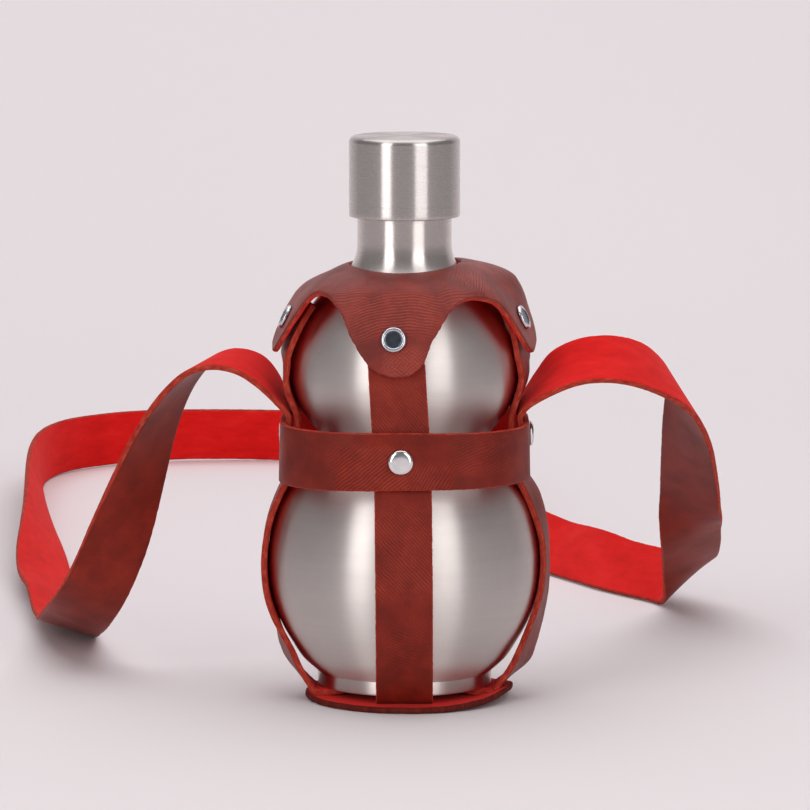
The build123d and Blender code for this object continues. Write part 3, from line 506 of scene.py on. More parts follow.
def steel(name, roughness=0.44, aniso=0.95, brush=1.0, base=(0.640, 0.600, 0.580), neck=None):
    """Stainless steel, finished on a lathe: fine lines run round the axis."""
    m, nt, b = material(name)
    uv = metric(nt)
    tan_ = node(nt, "ShaderNodeTangent", direction_type="RADIAL", axis="Z")
    link(nt, tan_.outputs["Tangent"], b.inputs["Tangent"])
    lines = noise_tex(nt, mapped(nt, uv, (26, 5200, 1)), 1.0, 3.0, 0.7)
    broad = noise_tex(nt, mapped(nt, uv, (30, 420, 1), loc=(2, 5, 1)), 1.0, 3.0, 0.6)
    streak = noise_tex(nt, mapped(nt, uv, (620, 9, 1), loc=(7, 1, 4)), 1.0, 2.0, 0.5)
    tone = calc(nt, "MULTIPLY_ADD", lines, 0.5, calc(nt, "MULTIPLY_ADD", broad, 0.3, calc(nt, "MULTIPLY", streak, 0.2)))
    col = ramp(nt, tone, [(0.25, tuple(0.93 * c for c in base)), (0.75, tuple(min(1.0, 1.05 * c) for c in base))])
    link(nt, col, b.inputs["Base Color"])
    b.inputs["Metallic"].default_value = 1.0
    rough = grey(nt, tone, 0.3, 0.7, roughness + 0.02, roughness - 0.02)
    if neck is not None:
        high = smoothed(nt, sep(nt, object_co(nt))[2], 0.126, 0.142, 0.0, neck - roughness)
        rough = calc(nt, "ADD", rough, high)
    link(nt, rough, b.inputs["Roughness"])
    b.inputs["Anisotropic"].default_value = aniso
    b.inputs["Anisotropic Rotation"].default_value = 0.25
    bump(nt, b, calc(nt, "MULTIPLY_ADD", lines, 0.7, calc(nt, "MULTIPLY", broad, 0.3)), 0.10 * brush, 0.00003)
    return m


def nickel(name, roughness=0.09, base=(0.80, 0.79, 0.78), scuff=0.5):
    """Polished nickel plate with faint scuffs."""
    m, nt, b = material(name)
    co = object_co(nt)
    scratch = noise_tex(nt, mapped(nt, co, (900, 5200, 2400), rot=(0.4, 0.2, 0.7)), 1.0, 3.0, 0.7)
    soil = noise_tex(nt, mapped(nt, co, (420, 420, 420)), 1.0, 3.0, 0.6)
    link(nt, ramp(nt, soil, [(0.35, tuple(0.86 * c for c in base)), (0.62, base)]), b.inputs["Base Color"])
    b.inputs["Metallic"].default_value = 1.0
    link(nt, grey(nt, calc(nt, "MULTIPLY_ADD", scratch, 0.5, calc(nt, "MULTIPLY", soil, 0.5)), 0.35, 0.7, roughness,
                  roughness + 0.10), b.inputs["Roughness"])
    bump(nt, b, scratch, 0.08 * scuff, 0.00002)
    return m


def moulded(name, base, roughness=0.42, speck=0.03):
    """Moulded plastic or silicone with a fine spark-eroded skin."""
    m, nt, b = material(name)
    co = object_co(nt)
    skin = noise_tex(nt, mapped(nt, co, (3500, 3500, 3500)), 1.0, 3.0, 0.6)
    cloud = noise_tex(nt, mapped(nt, co, (160, 160, 160)), 1.0, 3.0, 0.5)
    link(nt, ramp(nt, calc(nt, "MULTIPLY_ADD", skin, 0.4, calc(nt, "MULTIPLY", cloud, 0.6)),
                  [(0.3, tuple((1 - speck) * c * 0.95 for c in base)), (0.7, base)]), b.inputs["Base Color"])
    link(nt, grey(nt, skin, 0.3, 0.7, roughness, roughness + 0.12), b.inputs["Roughness"])
    bump(nt, b, skin, 0.25, 0.00004)
    return m


M_SUEDE = suede_leather("leather_suede_red")
M_CUT = cut_leather("leather_cut_edge")
# the pad's cut edge: the same cut leather darkened to 0.28, painted shade under the bulb
M_CUT_PAINTED_SHADE = cut_leather("leather_cut_edge_painted_shade", tint=0.28)
M_STEEL = steel("steel_turned", roughness=0.43, aniso=0.94, neck=0.28, base=(0.665, 0.620, 0.592))
M_STEEL_CAP = steel("steel_turned_cap", roughness=0.27, aniso=0.92, base=(0.550, 0.516, 0.500))
M_STEEL_IN = steel("steel_inside", roughness=0.42, aniso=0.4, brush=2.0, base=(0.56, 0.53, 0.51))
M_NICKEL = nickel("nickel_plate")
M_PLASTIC = moulded("liner_plastic", (0.78, 0.78, 0.75))
M_SILICONE = moulded("seal_silicone", (0.70, 0.70, 0.68), roughness=0.55)


# ------------------------------------------------------------ steel bottle
WALL = 0.6
LOWER = [(28.35, 8.55), (33.4, 13.2), (36.8, 18.4), (40.0, 24.1), (42.6, 30.8), (44.1, 37.6), (44.5, 44.6),
         (44.2, 50.0), (42.9, 57.0), (40.6, 64.1), (37.4, 69.6), (32.8, 74.6), (28.6, 78.6), (26.4, 81.2), (26.0, 82.7)]
UPPER = [(26.0, 82.7), (26.3, 84.2), (28.2, 87.0), (31.0, 90.4), (33.7, 94.3), (35.8, 98.6), (37.0, 102.6),
         (37.4, 106.0), (37.1, 110.7), (36.2, 115.4), (34.6, 120.2), (32.4, 124.7), (29.2, 129.4)]


def offset_in(run, t):
    """The same run, t mm to the left of its direction (inside a shell whose outer face runs upwards)."""
    d = unit(np.gradient(run, axis=0))
    return np.stack([run[:, 0] - d[:, 1] * t, run[:, 1] + d[:, 0] * t], axis=1)


def shell(name, outer, mats, seg, inner_to=None):
    """Sheet-metal shell from its outer run and a run WALL mm inside it, joined straight across at the rims."""
    inn = offset_in(outer, WALL)
    if inner_to is not None:
        inn = inn[(inn[:, 1] > inner_to[0]) & (inn[:, 1] < inner_to[1])]
    prof = list(map(tuple, outer)) + list(map(tuple, inn[::-1]))
    kinds = [0] * len(outer) + [1] * len(inn)
    return lathe(name, prof, mats, seg=seg, kinds=kinds)


low_run = catmull(LOWER, 0.9)
bottle_lower = shell("bottle_lower", low_run, [M_STEEL, M_STEEL_IN], 288, (10.0, 200.0))
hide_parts("lower_bulb")
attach(bottle_lower, "root")

up_run = catmull(UPPER, 0.9)
NECK_R, NECK_FILLET, BULB_R, BULB_Z = 15.3, 14.0, 37.4, 106.0
f_c = np.array([NECK_R + NECK_FILLET, BULB_Z + sqrt((BULB_R + NECK_FILLET) ** 2 - (NECK_R + NECK_FILLET) ** 2)])
f_a = np.array([BULB_R * f_c[0] / (BULB_R + NECK_FILLET), BULB_Z + (f_c[1] - BULB_Z) * BULB_R / (BULB_R + NECK_FILLET)])
dome = []                     # the sphere between the bulb's run and the fillet
for a in np.linspace(atan2(129.4 - BULB_Z, 29.2), atan2(f_a[1] - BULB_Z, f_a[0]), 14)[1:-1]:
    dome.append((BULB_R * cos(a), BULB_Z + BULB_R * sin(a)))
a_0 = atan2(f_a[1] - f_c[1], f_a[0] - f_c[0])
fil = np.array([f_c + NECK_FILLET * np.array([cos(a_0 + (-pi - a_0) * k / 14), sin(a_0 + (-pi - a_0) * k / 14)])
                for k in range(15)])
neck = np.array([(NECK_R, z) for z in np.linspace(fil[-1][1] + 0.6, 158.0, 24)])
up_all = np.vstack([up_run, np.array(dome), fil, neck])
bottle_upper = shell("bottle_upper", up_all, [M_STEEL, M_STEEL_IN], 288, (83.5, 157.6))
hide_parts("upper_bulb")
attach(bottle_upper, "root")

# pressed base with its foot ring, corners rounded
base_prof = [(28.3, 5.0), (28.3, 8.6), (28.15, 9.1), (27.8, 9.3), (22.2, 9.32), (21.6, 9.4), (18.6, 10.02), (18.0, 10.1), (0.0, 10.1),
             (0.0, 9.5), (18.0, 9.5), (18.6, 9.42), (21.6, 8.8), (22.2, 8.72), (27.2, 8.7), (27.6, 8.5), (27.7, 8.0),
             (27.7, 4.6), (27.78, 4.25), (28.0, 4.12), (28.22, 4.25), (28.3, 4.6)]
bottle_base = lathe("bottle_base", base_prof, [M_STEEL], seg=192)
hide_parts("base_cup")
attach(bottle_base, "root")

# cap: drawn cup with a rounded top edge and a lip turned over a little at the bottom
cap_prof = [(17.45, 157.25), (17.5, 157.08), (17.65, 157.0), (17.8, 157.02), (17.92, 157.12), (17.97, 157.3), (17.99, 158.2)]
cap_prof += [(18.0, z) for z in np.linspace(159.2, 181.0, 24)]
cap_prof += [(16.1 + 1.9 * cos(radians(a)), 181.1 + 1.9 * sin(radians(a))) for a in range(0, 91, 9)]
cap_prof += [(r, 183.0) for r in np.linspace(15.5, 0.0, 22)]
cap_prof += [(0.0, 182.4), (14.5, 182.4)]
cap_prof += [(16.1 + 1.3 * cos(radians(a)), 181.1 + 1.3 * sin(radians(a))) for a in (90, 60, 30, 0)]
cap_prof += [(17.4, 175.0), (17.4, 166.0), (17.4, 158.2)]
cap_kinds = [0] * (len(cap_prof) - 9) + [1] * 9
cap_outer = lathe("cap_outer", cap_prof, [M_STEEL_CAP, M_STEEL_IN], seg=256, kinds=cap_kinds)
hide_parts("cap_shell")
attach(cap_outer, "cap")

# carried-over pieces get their finish here
for nm, mat in (("mouth_ring", M_STEEL_IN), ("cap_liner", M_PLASTIC), ("seal_ring", M_SILICONE),
                ("belt_rivet_posts", M_NICKEL), ("base_rivet", M_NICKEL), ("base_rivet_cap", M_NICKEL),
                ("snap_studs", M_NICKEL), ("snap_stud_backs", M_NICKEL), ("snap_socket_front", M_NICKEL),
                ("snap_socket_left", M_NICKEL), ("snap_socket_right", M_NICKEL), ("snap_socket_back", M_NICKEL)):
    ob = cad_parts[nm]
    ob.data.materials.clear()
    ob.data.materials.append(mat)


# ------------------------------------------------------------ neck yoke: one leather piece with four lobes
# Outer face in each lobe's own plane: (distance from the axis, height).
YOKE_FRONT = [(19.2, 140.3), (22.4, 140.5), (26.5, 139.9), (29.9, 138.8), (33.2, 136.2), (36.3, 131.4), (38.6, 125.6),
              (39.8, 121.2), (40.9, 115.6), (41.4, 109.6), (41.6, 105.0)]
YOKE_LEFT = [(18.3, 142.0), (20.8, 141.1), (23.5, 139.9), (26.6, 138.4), (29.6, 136.2), (31.9, 134.0), (34.4, 131.4),
             (36.6, 127.8), (38.3, 124.9), (40.0, 121.4), (41.8, 117.6), (42.9, 114.4), (43.5, 111.0), (43.9, 107.0)]
YOKE_RIGHT = [(18.3, 142.5), (21.2, 142.4), (24.2, 141.4), (27.2, 139.6), (30.0, 137.0), (32.4, 134.0), (34.6, 131.6),
              (36.8, 128.4), (39.2, 123.5), (41.2, 118.6), (42.3, 114.0), (42.8, 109.0)]
YOKE_BACK = [(18.6, 141.9), (22.4, 141.9), (26.5, 141.2), (29.9, 139.8), (33.2, 136.8), (36.3, 131.6), (38.6, 125.6),
             (39.8, 121.2), (40.9, 115.6), (41.4, 109.6), (41.6, 105.0)]
# Lobe azimuth, profile, and how the azimuth of its flat face changes along it.
YOKE_KEYS = [(-93.0, YOKE_FRONT, [(0, -93), (48, -93)]),
             (-8.0, YOKE_RIGHT, [(0, -18), (12, -18), (24, -15), (40, -11), (48, -11)]),
             (87.0, YOKE_BACK, [(0, 87), (48, 87)]),
             (185.0, YOKE_LEFT, [(0, 185), (48, 185)])]
# Swells of the leather: azimuth, its half width, distance from the hole, its half width, outwards, upwards.
YOKE_BUMPS = [(24, 20, 15, 9, 3.0, 0.8), (150, 26, 9, 8, 0.0, -1.3), (40, 30, 8, 6, 0.0, -0.5)]
YOKE_S = np.linspace(0, 48, 97)
YOKE_CLIP = 30.0
YOKE_RIM = 17.6


def by_length(profile):
    q = catmull(profile, 0.12)
    s = np.r_[0, np.cumsum(np.hypot(*np.diff(q, axis=0).T))]
    return np.interp(YOKE_S, s, q[:, 0]), np.interp(YOKE_S, s, q[:, 1])


YOKE_TABS = [by_length(k[1]) for k in YOKE_KEYS]


def yoke_lobe(k, p, s):
    dist, high = YOKE_TABS[k]
    r, z = np.interp(s, YOKE_S, dist), np.interp(s, YOKE_S, high)
    way = YOKE_KEYS[k][2]
    b = np.interp(s, [w[0] for w in way], [w[1] for w in way])
    d = abs((p - b + 180.0) % 360.0 - 180.0)
    d = YOKE_CLIP * tanh(d / YOKE_CLIP)
    f = np.interp(s, [0, 5, 10, 16, 60], [0, 0, 0.5, 1, 1])
    return r * (1 + f * (1 / cos(radians(d)) - 1)), z


def yoke_point(azimuth, s):
    """Outer face of the yoke, in mm: azimuth in degrees, s along the leather from the neck hole."""
    p = (azimuth + 93.0) % 360.0 - 93.0
    az = [k[0] for k in YOKE_KEYS] + [267.0]
    k = max(i for i in range(4) if p >= az[i] - 1e-9)
    w = (p - az[k]) / (az[k + 1] - az[k])
    w = w * w * (3 - 2 * w)
    r0, z0 = yoke_lobe(k, p, s)
    r1, z1 = yoke_lobe((k + 1) % 4, p, s)
    r, z = r0 * (1 - w) + r1 * w, z0 * (1 - w) + z1 * w
    for a, ha, sc, hs, dr, dz in YOKE_BUMPS:
        q, t = ((p - a + 180.0) % 360.0 - 180.0) / ha, (s - sc) / hs
        g = exp(-q * q - t * t)
        r += dr * g
        z += dz * g
    return np.array([r * cos(radians(p)), r * sin(radians(p)), z])


def yoke_normal(azimuth, s):
    a = yoke_point(azimuth + 0.6, s) - yoke_point(azimuth - 0.6, s)
    b = yoke_point(azimuth, min(s + 0.4, 47.9)) - yoke_point(azimuth, max(s - 0.4, 0.0))
    return unit(np.cross(b, a))


# outline: azimuth, distance from the hole along the leather
LEFT_HALF = [(27, 20), (24.8, 22), (22.8, 24), (21, 26), (19.2, 28), (17.4, 30), (15.7, 32), (13.6, 34), (11.2, 36), (7.7, 38)]
RIGHT_HALF = [(28.8, 20), (25.8, 22), (23.8, 24), (21.8, 26), (20.05, 28), (18.3, 30), (16.6, 32), (14.7, 34), (12.5, 36),
              (9.65, 38), (3.5, 40)]
FRONT_EDGE = [(-144.3, 16.2), (-140.1, 15.6), (-133.7, 16.3), (-128.1, 18.4), (-123.6, 20.6), (-121.6, 21.8), (-119.0, 24.4),
              (-116.5, 27.4), (-114.3, 30.6), (-112.4, 32.6), (-109.8, 35.7), (-107.0, 38.55), (-104.7, 40.8), (-101.2, 42.6),
              (-96.8, 43.6), (-92.4, 43.94), (-87.85, 43.25), (-84.3, 41.3), (-81.7, 39.0), (-80.2, 36.4), (-79.4, 34.5),
              (-77.9, 32.1), (-74.9, 28.9), (-71.7, 25.3), (-68.3, 22.2), (-64.55, 20.1), (-59.4, 18.4), (-52.9, 17.9),
              (-46.1, 18.6)]
OUTLINE = list(FRONT_EDGE)
OUTLINE += [(-8 - 1.08 * a, s) for a, s in RIGHT_HALF] + [(-8, 40.75)] + [(-8 + a, s) for a, s in RIGHT_HALF[::-1]]
OUTLINE += [(24.5, 18.8), (30.0, 18.0), (38.0, 18.0)]
OUTLINE += [(87 - (a + 93), s) for a, s in FRONT_EDGE[::-1] if -136 < a < -56]
OUTLINE += [(137.0, 16.5), (144.0, 16.5), (151.0, 17.0), (155.5, 18.4)]
OUTLINE += [(185 - a, s) for a, s in LEFT_HALF] + [(185, 39.75)] + [(185 + 1.08 * a, s) for a, s in LEFT_HALF[:1:-1]]
OUTLINE += [(211.5, 20.8), (213.5, 17.9)]


def outline_points():
    """Closed outline as (azimuth, s), about 0.55 mm apart, corners eased."""
    raw = np.array(OUTLINE, float)
    xyz = np.array([yoke_point(a, s) for a, s in raw])
    raw_c = np.vstack([raw, [raw[0, 0] + 360.0, raw[0, 1]]])
    fine = []
    for k in range(len(raw)):
        n = max(2, int(np.linalg.norm(xyz[(k + 1) % len(raw)] - xyz[k]) / 0.12))
        for t in np.arange(n) / n:
            fine.append(raw_c[k] * (1 - t) + raw_c[k + 1] * t)
    fine = np.array(fine)
    m = len(fine)
    wrap = np.vstack([fine[-24:] - [360, 0], fine, fine[:24] + [360, 0]])
    win = np.hanning(27)
    win /= win.sum()
    eased = np.stack([np.convolve(wrap[:, c], win, "same")[24:24 + m] for c in range(2)], axis=1)
    p3 = np.array([yoke_point(a, s) for a, s in eased])
    d = np.linalg.norm(np.diff(np.vstack([p3, p3[:1]]), axis=0), axis=1)
    run = np.r_[0, np.cumsum(d)]
    n = int(round(run[-1] / 0.55))
    u = np.linspace(0, run[-1], n, endpoint=False)
    closed = np.vstack([eased, eased[0] + [360, 0]])
    return np.stack([np.interp(u, run, closed[:, c]) for c in range(2)], axis=1)


def make_yoke():
    edge = outline_points()
    n = len(edge)
    pts = np.array([yoke_point(a, s) for a, s in edge])
    r_e = np.hypot(pts[:, 0], pts[:, 1])
    # inward direction in the surface, as (radians of azimuth x radius, s)
    nxt = np.vstack([edge[1:], edge[:1] + [360, 0]])
    prv = np.vstack([edge[-1:] - [360, 0], edge[:-1]])
    tang = np.stack([np.radians(nxt[:, 0] - prv[:, 0]) * r_e, nxt[:, 1] - prv[:, 1]], axis=1)
    tang = unit(tang)
    inward = np.stack([tang[:, 1], -tang[:, 0]], axis=1)
    near = [0.0, 0.12, 0.28, 0.5, 0.8, 1.3, 2.0]
    rim = [0.0, 0.12, 0.28, 0.5, 0.8, 1.3]
    mid = 34
    rows = len(near) + mid + len(rim)
    grid = np.zeros((n, rows, 2))                        # azimuth, s
    depth = np.zeros((n, rows))
    hole_az = np.zeros(n)
    lobes = np.array([-93.0, -8.0, 87.0, 185.0, 267.0])
    # azimuth at the hole: the outline's own
    run = np.r_[0, np.cumsum(np.linalg.norm(np.diff(pts, axis=0), axis=1))]
    az = edge[:, 0]
    hole_az = az
    rad = 0.55
    for k in range(n):
        for j, e in enumerate(near):
            grid[k, j] = (az[k] + degrees(inward[k, 0] * e / r_e[k]), edge[k, 1] + inward[k, 1] * e)
            depth[k, j] = rad - sqrt(max(0.0, rad * rad - (rad - e) ** 2)) if e < rad else 0.0
        a_in, s_in = grid[k, len(near) - 1]
        for j in range(mid):
            t = (j + 1) / (mid + 1)
            s = s_in + (rim[-1] - s_in) * t
            grid[k, len(near) + j] = (a_in + (hole_az[k] - a_in) * smooth(t), s)
        for j, e in enumerate(rim[::-1]):
            row = len(near) + mid + j
            grid[k, row] = (hole_az[k], e)
            depth[k, row] = rad - sqrt(max(0.0, rad * rad - (rad - e) ** 2)) if e < rad else 0.0
    outer = np.array([[yoke_point(a, max(s, 0.0)) for a, s in col] for col in grid])
    # normals of the surface from the grid itself
    du = np.roll(outer, -1, 0) - np.roll(outer, 1, 0)
    dv = np.gradient(outer, axis=1)
    nrm = unit(np.cross(du, dv))
    if nrm[0, rows // 2, 2] < 0:
        nrm = -nrm
    # near the steep edges the rows lie close together: take the normals a little further in
    for j in range(3):
        nrm[:, j] = nrm[:, 3]
    # soft wrinkles and swells of the leather
    push = np.zeros((n, rows))
    for k in range(n):
        for j in range(rows):
            x, y, z = outer[k, j]
            push[k, j] = 0.16 * fbm(x * 0.085, y * 0.085, z * 0.085, 3)
    top = outer + nrm * (push - depth)[..., None]
    # the leather is pared thinner round the hole
    thin = T - 0.6 * (1 - smooth(np.maximum(grid[:, :, 1], 0.0) / 7.0))
    low = outer + nrm * (push - thin + depth)[..., None]
    # cut edge: three rows between the faces, slightly swollen and fibrous
    out_dir = np.zeros((n, 3))
    for k in range(n):
        out_dir[k] = unit(outer[k, 0] - outer[k, 2])
    rim_dir = unit(outer[:, -1] - outer[:, -3])

    def between(a, b, direction, seed):
        res = []
        for t, swell in ((0.25, 0.05), (0.5, 0.08), (0.75, 0.05)):
            p = a * (1 - t) + b * t
            amp = np.array([swell + 0.10 * fbm(q[0] * 1.1 + seed, q[1] * 1.1, q[2] * 1.1 + 3 * t, 3) for q in p])
            res.append(p + direction * amp[:, None])
        return res

    # ragged outline
    for k in range(n):
        x, y, z = outer[k, 0]
        g = 0.17 * fbm(x * 0.75, y * 0.75, z * 0.75, 3)
        for j, f in ((0, 1.0), (1, 0.9), (2, 0.7), (3, 0.45), (4, 0.2)):
            top[k, j] += out_dir[k] * g * f
            low[k, j] += out_dir[k] * g * f
    e_rows = between(top[:, 0], low[:, 0], out_dir, 11.0)
    h_rows = between(low[:, -1], top[:, -1], rim_dir, 23.0)
    # ring of the section: outer face from outline to hole, hole edge, inner face back, outline edge
    ring = [top[:, j] for j in range(rows)] + h_rows[::-1] + [low[:, j] for j in range(rows - 1, -1, -1)] + e_rows[::-1]
    kinds = [0] * (rows - 1) + [2] * 4 + [1] * (rows - 1) + [2] * 4
    ring = np.array(ring)                                   # (m, n, 3)
    m = len(ring)
    # flat plan of the leather, for the material
    flat = np.zeros((m, n, 2))
    row_of = list(range(rows)) + [rows - 1] * 3 + list(range(rows - 1, -1, -1)) + [0] * 3
    for i in range(m):
        j = row_of[i]
        for k in range(n):
            a, s = grid[k, j]
            c = lobes[np.argmin(np.abs((lobes - a + 180.0) % 360.0 - 180.0))]
            d = radians(a - c)
            x3, y3, _ = outer[k, j]
            r = sqrt(x3 * x3 + y3 * y3)
            u, v = r * sin(d), (YOKE_RIM + s) * cos(d)
            cc = radians(c)
            flat[i, k] = (v * cos(cc) - u * sin(cc), v * sin(cc) + u * cos(cc))
    # vertex normals of the closed ring
    a = np.roll(ring, -1, 1) - np.roll(ring, 1, 1)
    b = np.roll(ring, -1, 0) - np.roll(ring, 1, 0)
    vn = unit(np.cross(b, a))
    mid_row = rows // 2
    if np.sum(vn[mid_row] * nrm[:, mid_row]) < 0:
        vn = -vn
    return edge, ring, kinds, flat, vn


def yoke_piece(name, data, k0, k1, mats):
    """Columns k0..k1 of the yoke as one closed piece."""
    edge, ring, kinds, flat, vn = data
    m, n = ring.shape[:2]
    cols = [k % n for k in range(k0, k1 + 1)]
    c = len(cols)
    verts = ring[:, cols].reshape(-1, 3)                    # index i * c + q
    faces, fm, uv, ln = [], [], [], []
    along = np.r_[0, np.cumsum(np.linalg.norm(np.diff(ring[0], axis=0), axis=1))]
    girth = np.r_[0, np.cumsum(np.linalg.norm(np.diff(np.vstack([ring[:, cols[0]], ring[:1, cols[0]]]), axis=0), axis=1))]
    for i in range(m):
        i2 = (i + 1) % m
        for q in range(c - 1):
            f = (i * c + q, i * c + q + 1, i2 * c + q + 1, i2 * c + q)
            faces.append(f)
            fm.append(kinds[i])
            ks = (cols[q], cols[q + 1], cols[q + 1], cols[q])
            rs = (i, i, i2, i2)
            for kk, rr, gg in zip(ks, rs, (girth[i], girth[i], girth[i + 1], girth[i + 1])):
                uv.append((along[kk], gg) if kinds[i] == 2 else tuple(flat[rr, kk]))
                ln.append(vn[rr, kk])
    # closing walls where the pieces meet
    for end, q in ((0, 0), (1, c - 1)):
        # the section is a thin band: each outer row pairs with an inner one
        rows = sum(1 for k in kinds if k == 0) + 1
        top_i = list(range(rows))
        low_i = list(range(rows + 3, 2 * rows + 3))[::-1]
        for j in range(rows - 1):
            f = [top_i[j], top_i[j + 1], low_i[j + 1], low_i[j]]
            f = [x * c + q for x in (f[::-1] if end else f)]
            faces.append(tuple(f))
            fm.append(2)
            p = verts[f]
            nn = unit(np.cross(p[1] - p[0], p[2] - p[1]))
            for x in f:
                uv.append((0.0, 0.0))
                ln.append(nn)
        for idx in ([rows - 1, rows, rows + 1, rows + 2, rows + 3], [2 * rows + 2, 2 * rows + 3, 2 * rows + 4, 2 * rows + 5, 0]):
            f = [x * c + q for x in (idx[::-1] if end else idx)]
            faces.append(tuple(f))
            fm.append(2)
            p = verts[f]
            nn = unit(np.cross(p[1] - p[0], p[2] - p[0]))
            for x in f:
                uv.append((0.0, 0.0))
                ln.append(nn)
    ob = new_object(name, verts, faces, uv, fm, mats)
    return ob, np.array(ln)


YOKE = make_yoke()


M_GRAIN = grain_leather("leather_grain", weave=0.9, spec=0.44, roughness=0.48, creases=[
    (1, 0.98, 2.7, -3.0, 19.0, -40.5, 9.0), (42, 0.95, 2.2, -0.5, 9.0, -56.0, 7.0), (-38, 1.0, 2.0, 1.0, 9.0, -57.0, 6.5),
    (84, 0.95, 1.9, 21.0, 7.0, -19.0, 9.0), (-20, 1.0, 1.4, -19.0, 9.0, -33.0, 7.0), (30, 1.0, 1.4, 17.0, 8.0, -33.0, 7.0)])
M_GRAIN_STRIP = grain_leather("leather_grain_strip", weave=0.6, spec=0.22, creases=[
    (44, 0.92, 2.0, 76.0, 20.0, 0.0, 16.0), (38, 0.88, 1.4, 30.0, 13.0, 0.0, 14.0), (60, 1.0, 0.9, 108.0, 12.0, 2.0, 12.0)])
M_GRAIN_STRAP = grain_leather("leather_grain_strap", weave=0.5, tint=1.08, spec=0.18)
M_GRAIN_BELT = grain_leather("leather_grain_belt", weave=0.5, spec=0.20, creases=[
    (38, 1.00, 2.6, 135.0, 16.0, -3.5, 10.5), (58, 0.95, 2.2, 152.0, 11.0, -6.0, 7.5), (20, 1.0, 1.0, 170.0, 14.0, 2.0, 9.0)])


def dress(ob, node_name, body="root"):
    if node_name:
        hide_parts(*([node_name] if isinstance(node_name, str) else node_name))
    if body:
        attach(ob, body)
    return ob


def column_at(azimuth):
    a = (YOKE[0][:, 0] - azimuth + 180.0) % 360.0 - 180.0
    return int(np.argmin(np.abs(a)))


YOKE_CUTS = {"front": (-135.0, -49.0), "right": (-49.0, 38.0), "back": (38.0, 137.0), "left": (137.0, 225.0)}
LOBE_AZ = {"front": -95.0, "right": -8.0, "back": 85.0, "left": 188.0}
SNAP_AZ = {"front": -95.0, "right": -11.0, "back": 85.0, "left": 188.0}
n_cols = len(YOKE[0])
for nm, (a0, a1) in YOKE_CUTS.items():
    k0, k1 = column_at(a0), column_at(a1)
    if k1 <= k0:
        k1 += n_cols
    ob, loop_normals = yoke_piece("yoke_" + nm, YOKE, k0, k1, [M_GRAIN, M_SUEDE, M_CUT])
    ob.data.normals_split_custom_set([tuple(v) for v in loop_normals])
    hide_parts(*(["lobe_" + nm, "collar"] if nm == "front" else ["lobe_" + nm]))
    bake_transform(ob)


# ------------------------------------------------------------ strips
def gap_rows(azimuth, s_list, gap):
    """Centre points of a strip that lies behind a lobe, gap mm behind the lobe's outer face."""
    return [yoke_point(azimuth, s) - yoke_normal(azimuth, s) * gap for s in s_list]


def s_at(azimuth, z):
    ss = np.linspace(20, 44, 241)
    zz = np.array([yoke_point(azimuth, s)[2] for s in ss])
    return float(ss[np.argmin(np.abs(zz - z))])


FB_RUN = [(38.1, 112.5), (38.7, 108.0), (38.7, 102.0), (38.9, 94.0), (39.45, 88.0), (39.5, 82.5), (39.5, 77.0),
          (39.55, 73.6), (40.6, 69.6), (42.7, 62.5), (44.9, 54.0), (45.7, 47.0), (45.65, 41.0), (44.95, 35.0), (43.2, 28.5),
          (40.8, 22.5), (37.4, 16.5), (34.3, 11.0)]
# side strips: (height, distance of the middle from the axis, twist in degrees with the rear edge outwards)
LEFT_RUN = [(113.0, 38.3, 6.0), (109.0, 38.25, 3.0), (104.7, 38.2, 0.5), (100.3, 37.4, 0.0), (96.5, 36.0, 0.0), (92.5, 34.6, 0.0), (87.5, 34.9, 0.0),
            (82.0, 35.4, 0.0), (77.4, 35.6, 0.0), (74.0, 36.9, 0.0), (70.6, 38.6, 0.0), (66.0, 40.8, 0.0), (59.5, 43.0, 0.0),
            (53.0, 44.7, 0.0), (46.0, 45.5, 0.0), (40.0, 45.2, 0.0), (34.0, 44.3, 0.0), (28.0, 42.6, 1.0), (22.5, 40.5, 5.0),
            (16.5, 38.2, 12.0), (10.8, 35.5, 11.0)]
RIGHT_RUN = [(113.0, 38.1, 12.0), (109.0, 38.5, 8.5), (105.0, 38.7, 6.5), (101.0, 37.8, 5.5), (97.0, 36.3, 3.0), (92.5, 34.7, 1.0), (87.5, 34.9, 0.0),
             (82.0, 35.4, 0.0), (77.4, 35.6, 2.0), (74.0, 36.9, 5.0), (70.6, 39.0, 9.0), (66.0, 41.5, 11.0), (59.5, 43.8, 9.0),
             (53.0, 45.3, 6.0), (46.0, 45.75, 5.0), (40.0, 45.6, 6.5), (34.0, 44.95, 8.5), (28.0, 43.5, 11.5), (22.5, 41.8, 14.5),
             (16.5, 39.7, 17.5), (10.8, 37.0, 18.5)]
SNAP_S = {"front": s_at(-95.0, 121.2), "back": s_at(85.0, 121.2), "left": s_at(188.0, 124.6), "right": s_at(-11.0, 124.6)}


def under(r_c, z_c, rho, a_from, n=6):
    return [(r_c + rho * sin(radians(a_from * (1 - k / n))), z_c - rho * cos(radians(a_from * (1 - k / n))))
            for k in range(n + 1)]


def top_rows(side):
    s0 = SNAP_S[side]
    return gap_rows(LOBE_AZ[side], (s0 - 9.0, s0 - 4.5, s0, s0 + 4.5), T + 1.1 + T / 2)


def fb_rows(sign):
    side = "front" if sign < 0 else "back"
    top = top_rows(side)
    q = top[2]
    rows = [np.r_[p, cos(radians(5)), -sin(radians(5)), 0.0] for p in top]
    for r, z in FB_RUN + under(28.5, 5.5, 2.5, 62):
        x = float(np.interp(z, [0, 40, 72, 91, 110, 125], [0.0, -0.12, -0.45, -1.25, -2.4, -3.3])) * (-sign if sign > 0 else 1)
        rows.append(np.array([x, sign * r, z, 1.0, 0.0, 0.0]))
    rows += [np.array([0, sign * 20.0, 3.0, 1, 0, 0]), np.array([0, sign * 9.0, 3.0, 1, 0, 0])]
    return rows


def sweep_rows(rows, step):
    q = catmull(np.array(rows), step)
    return q[:, :3], q[:, 3:]


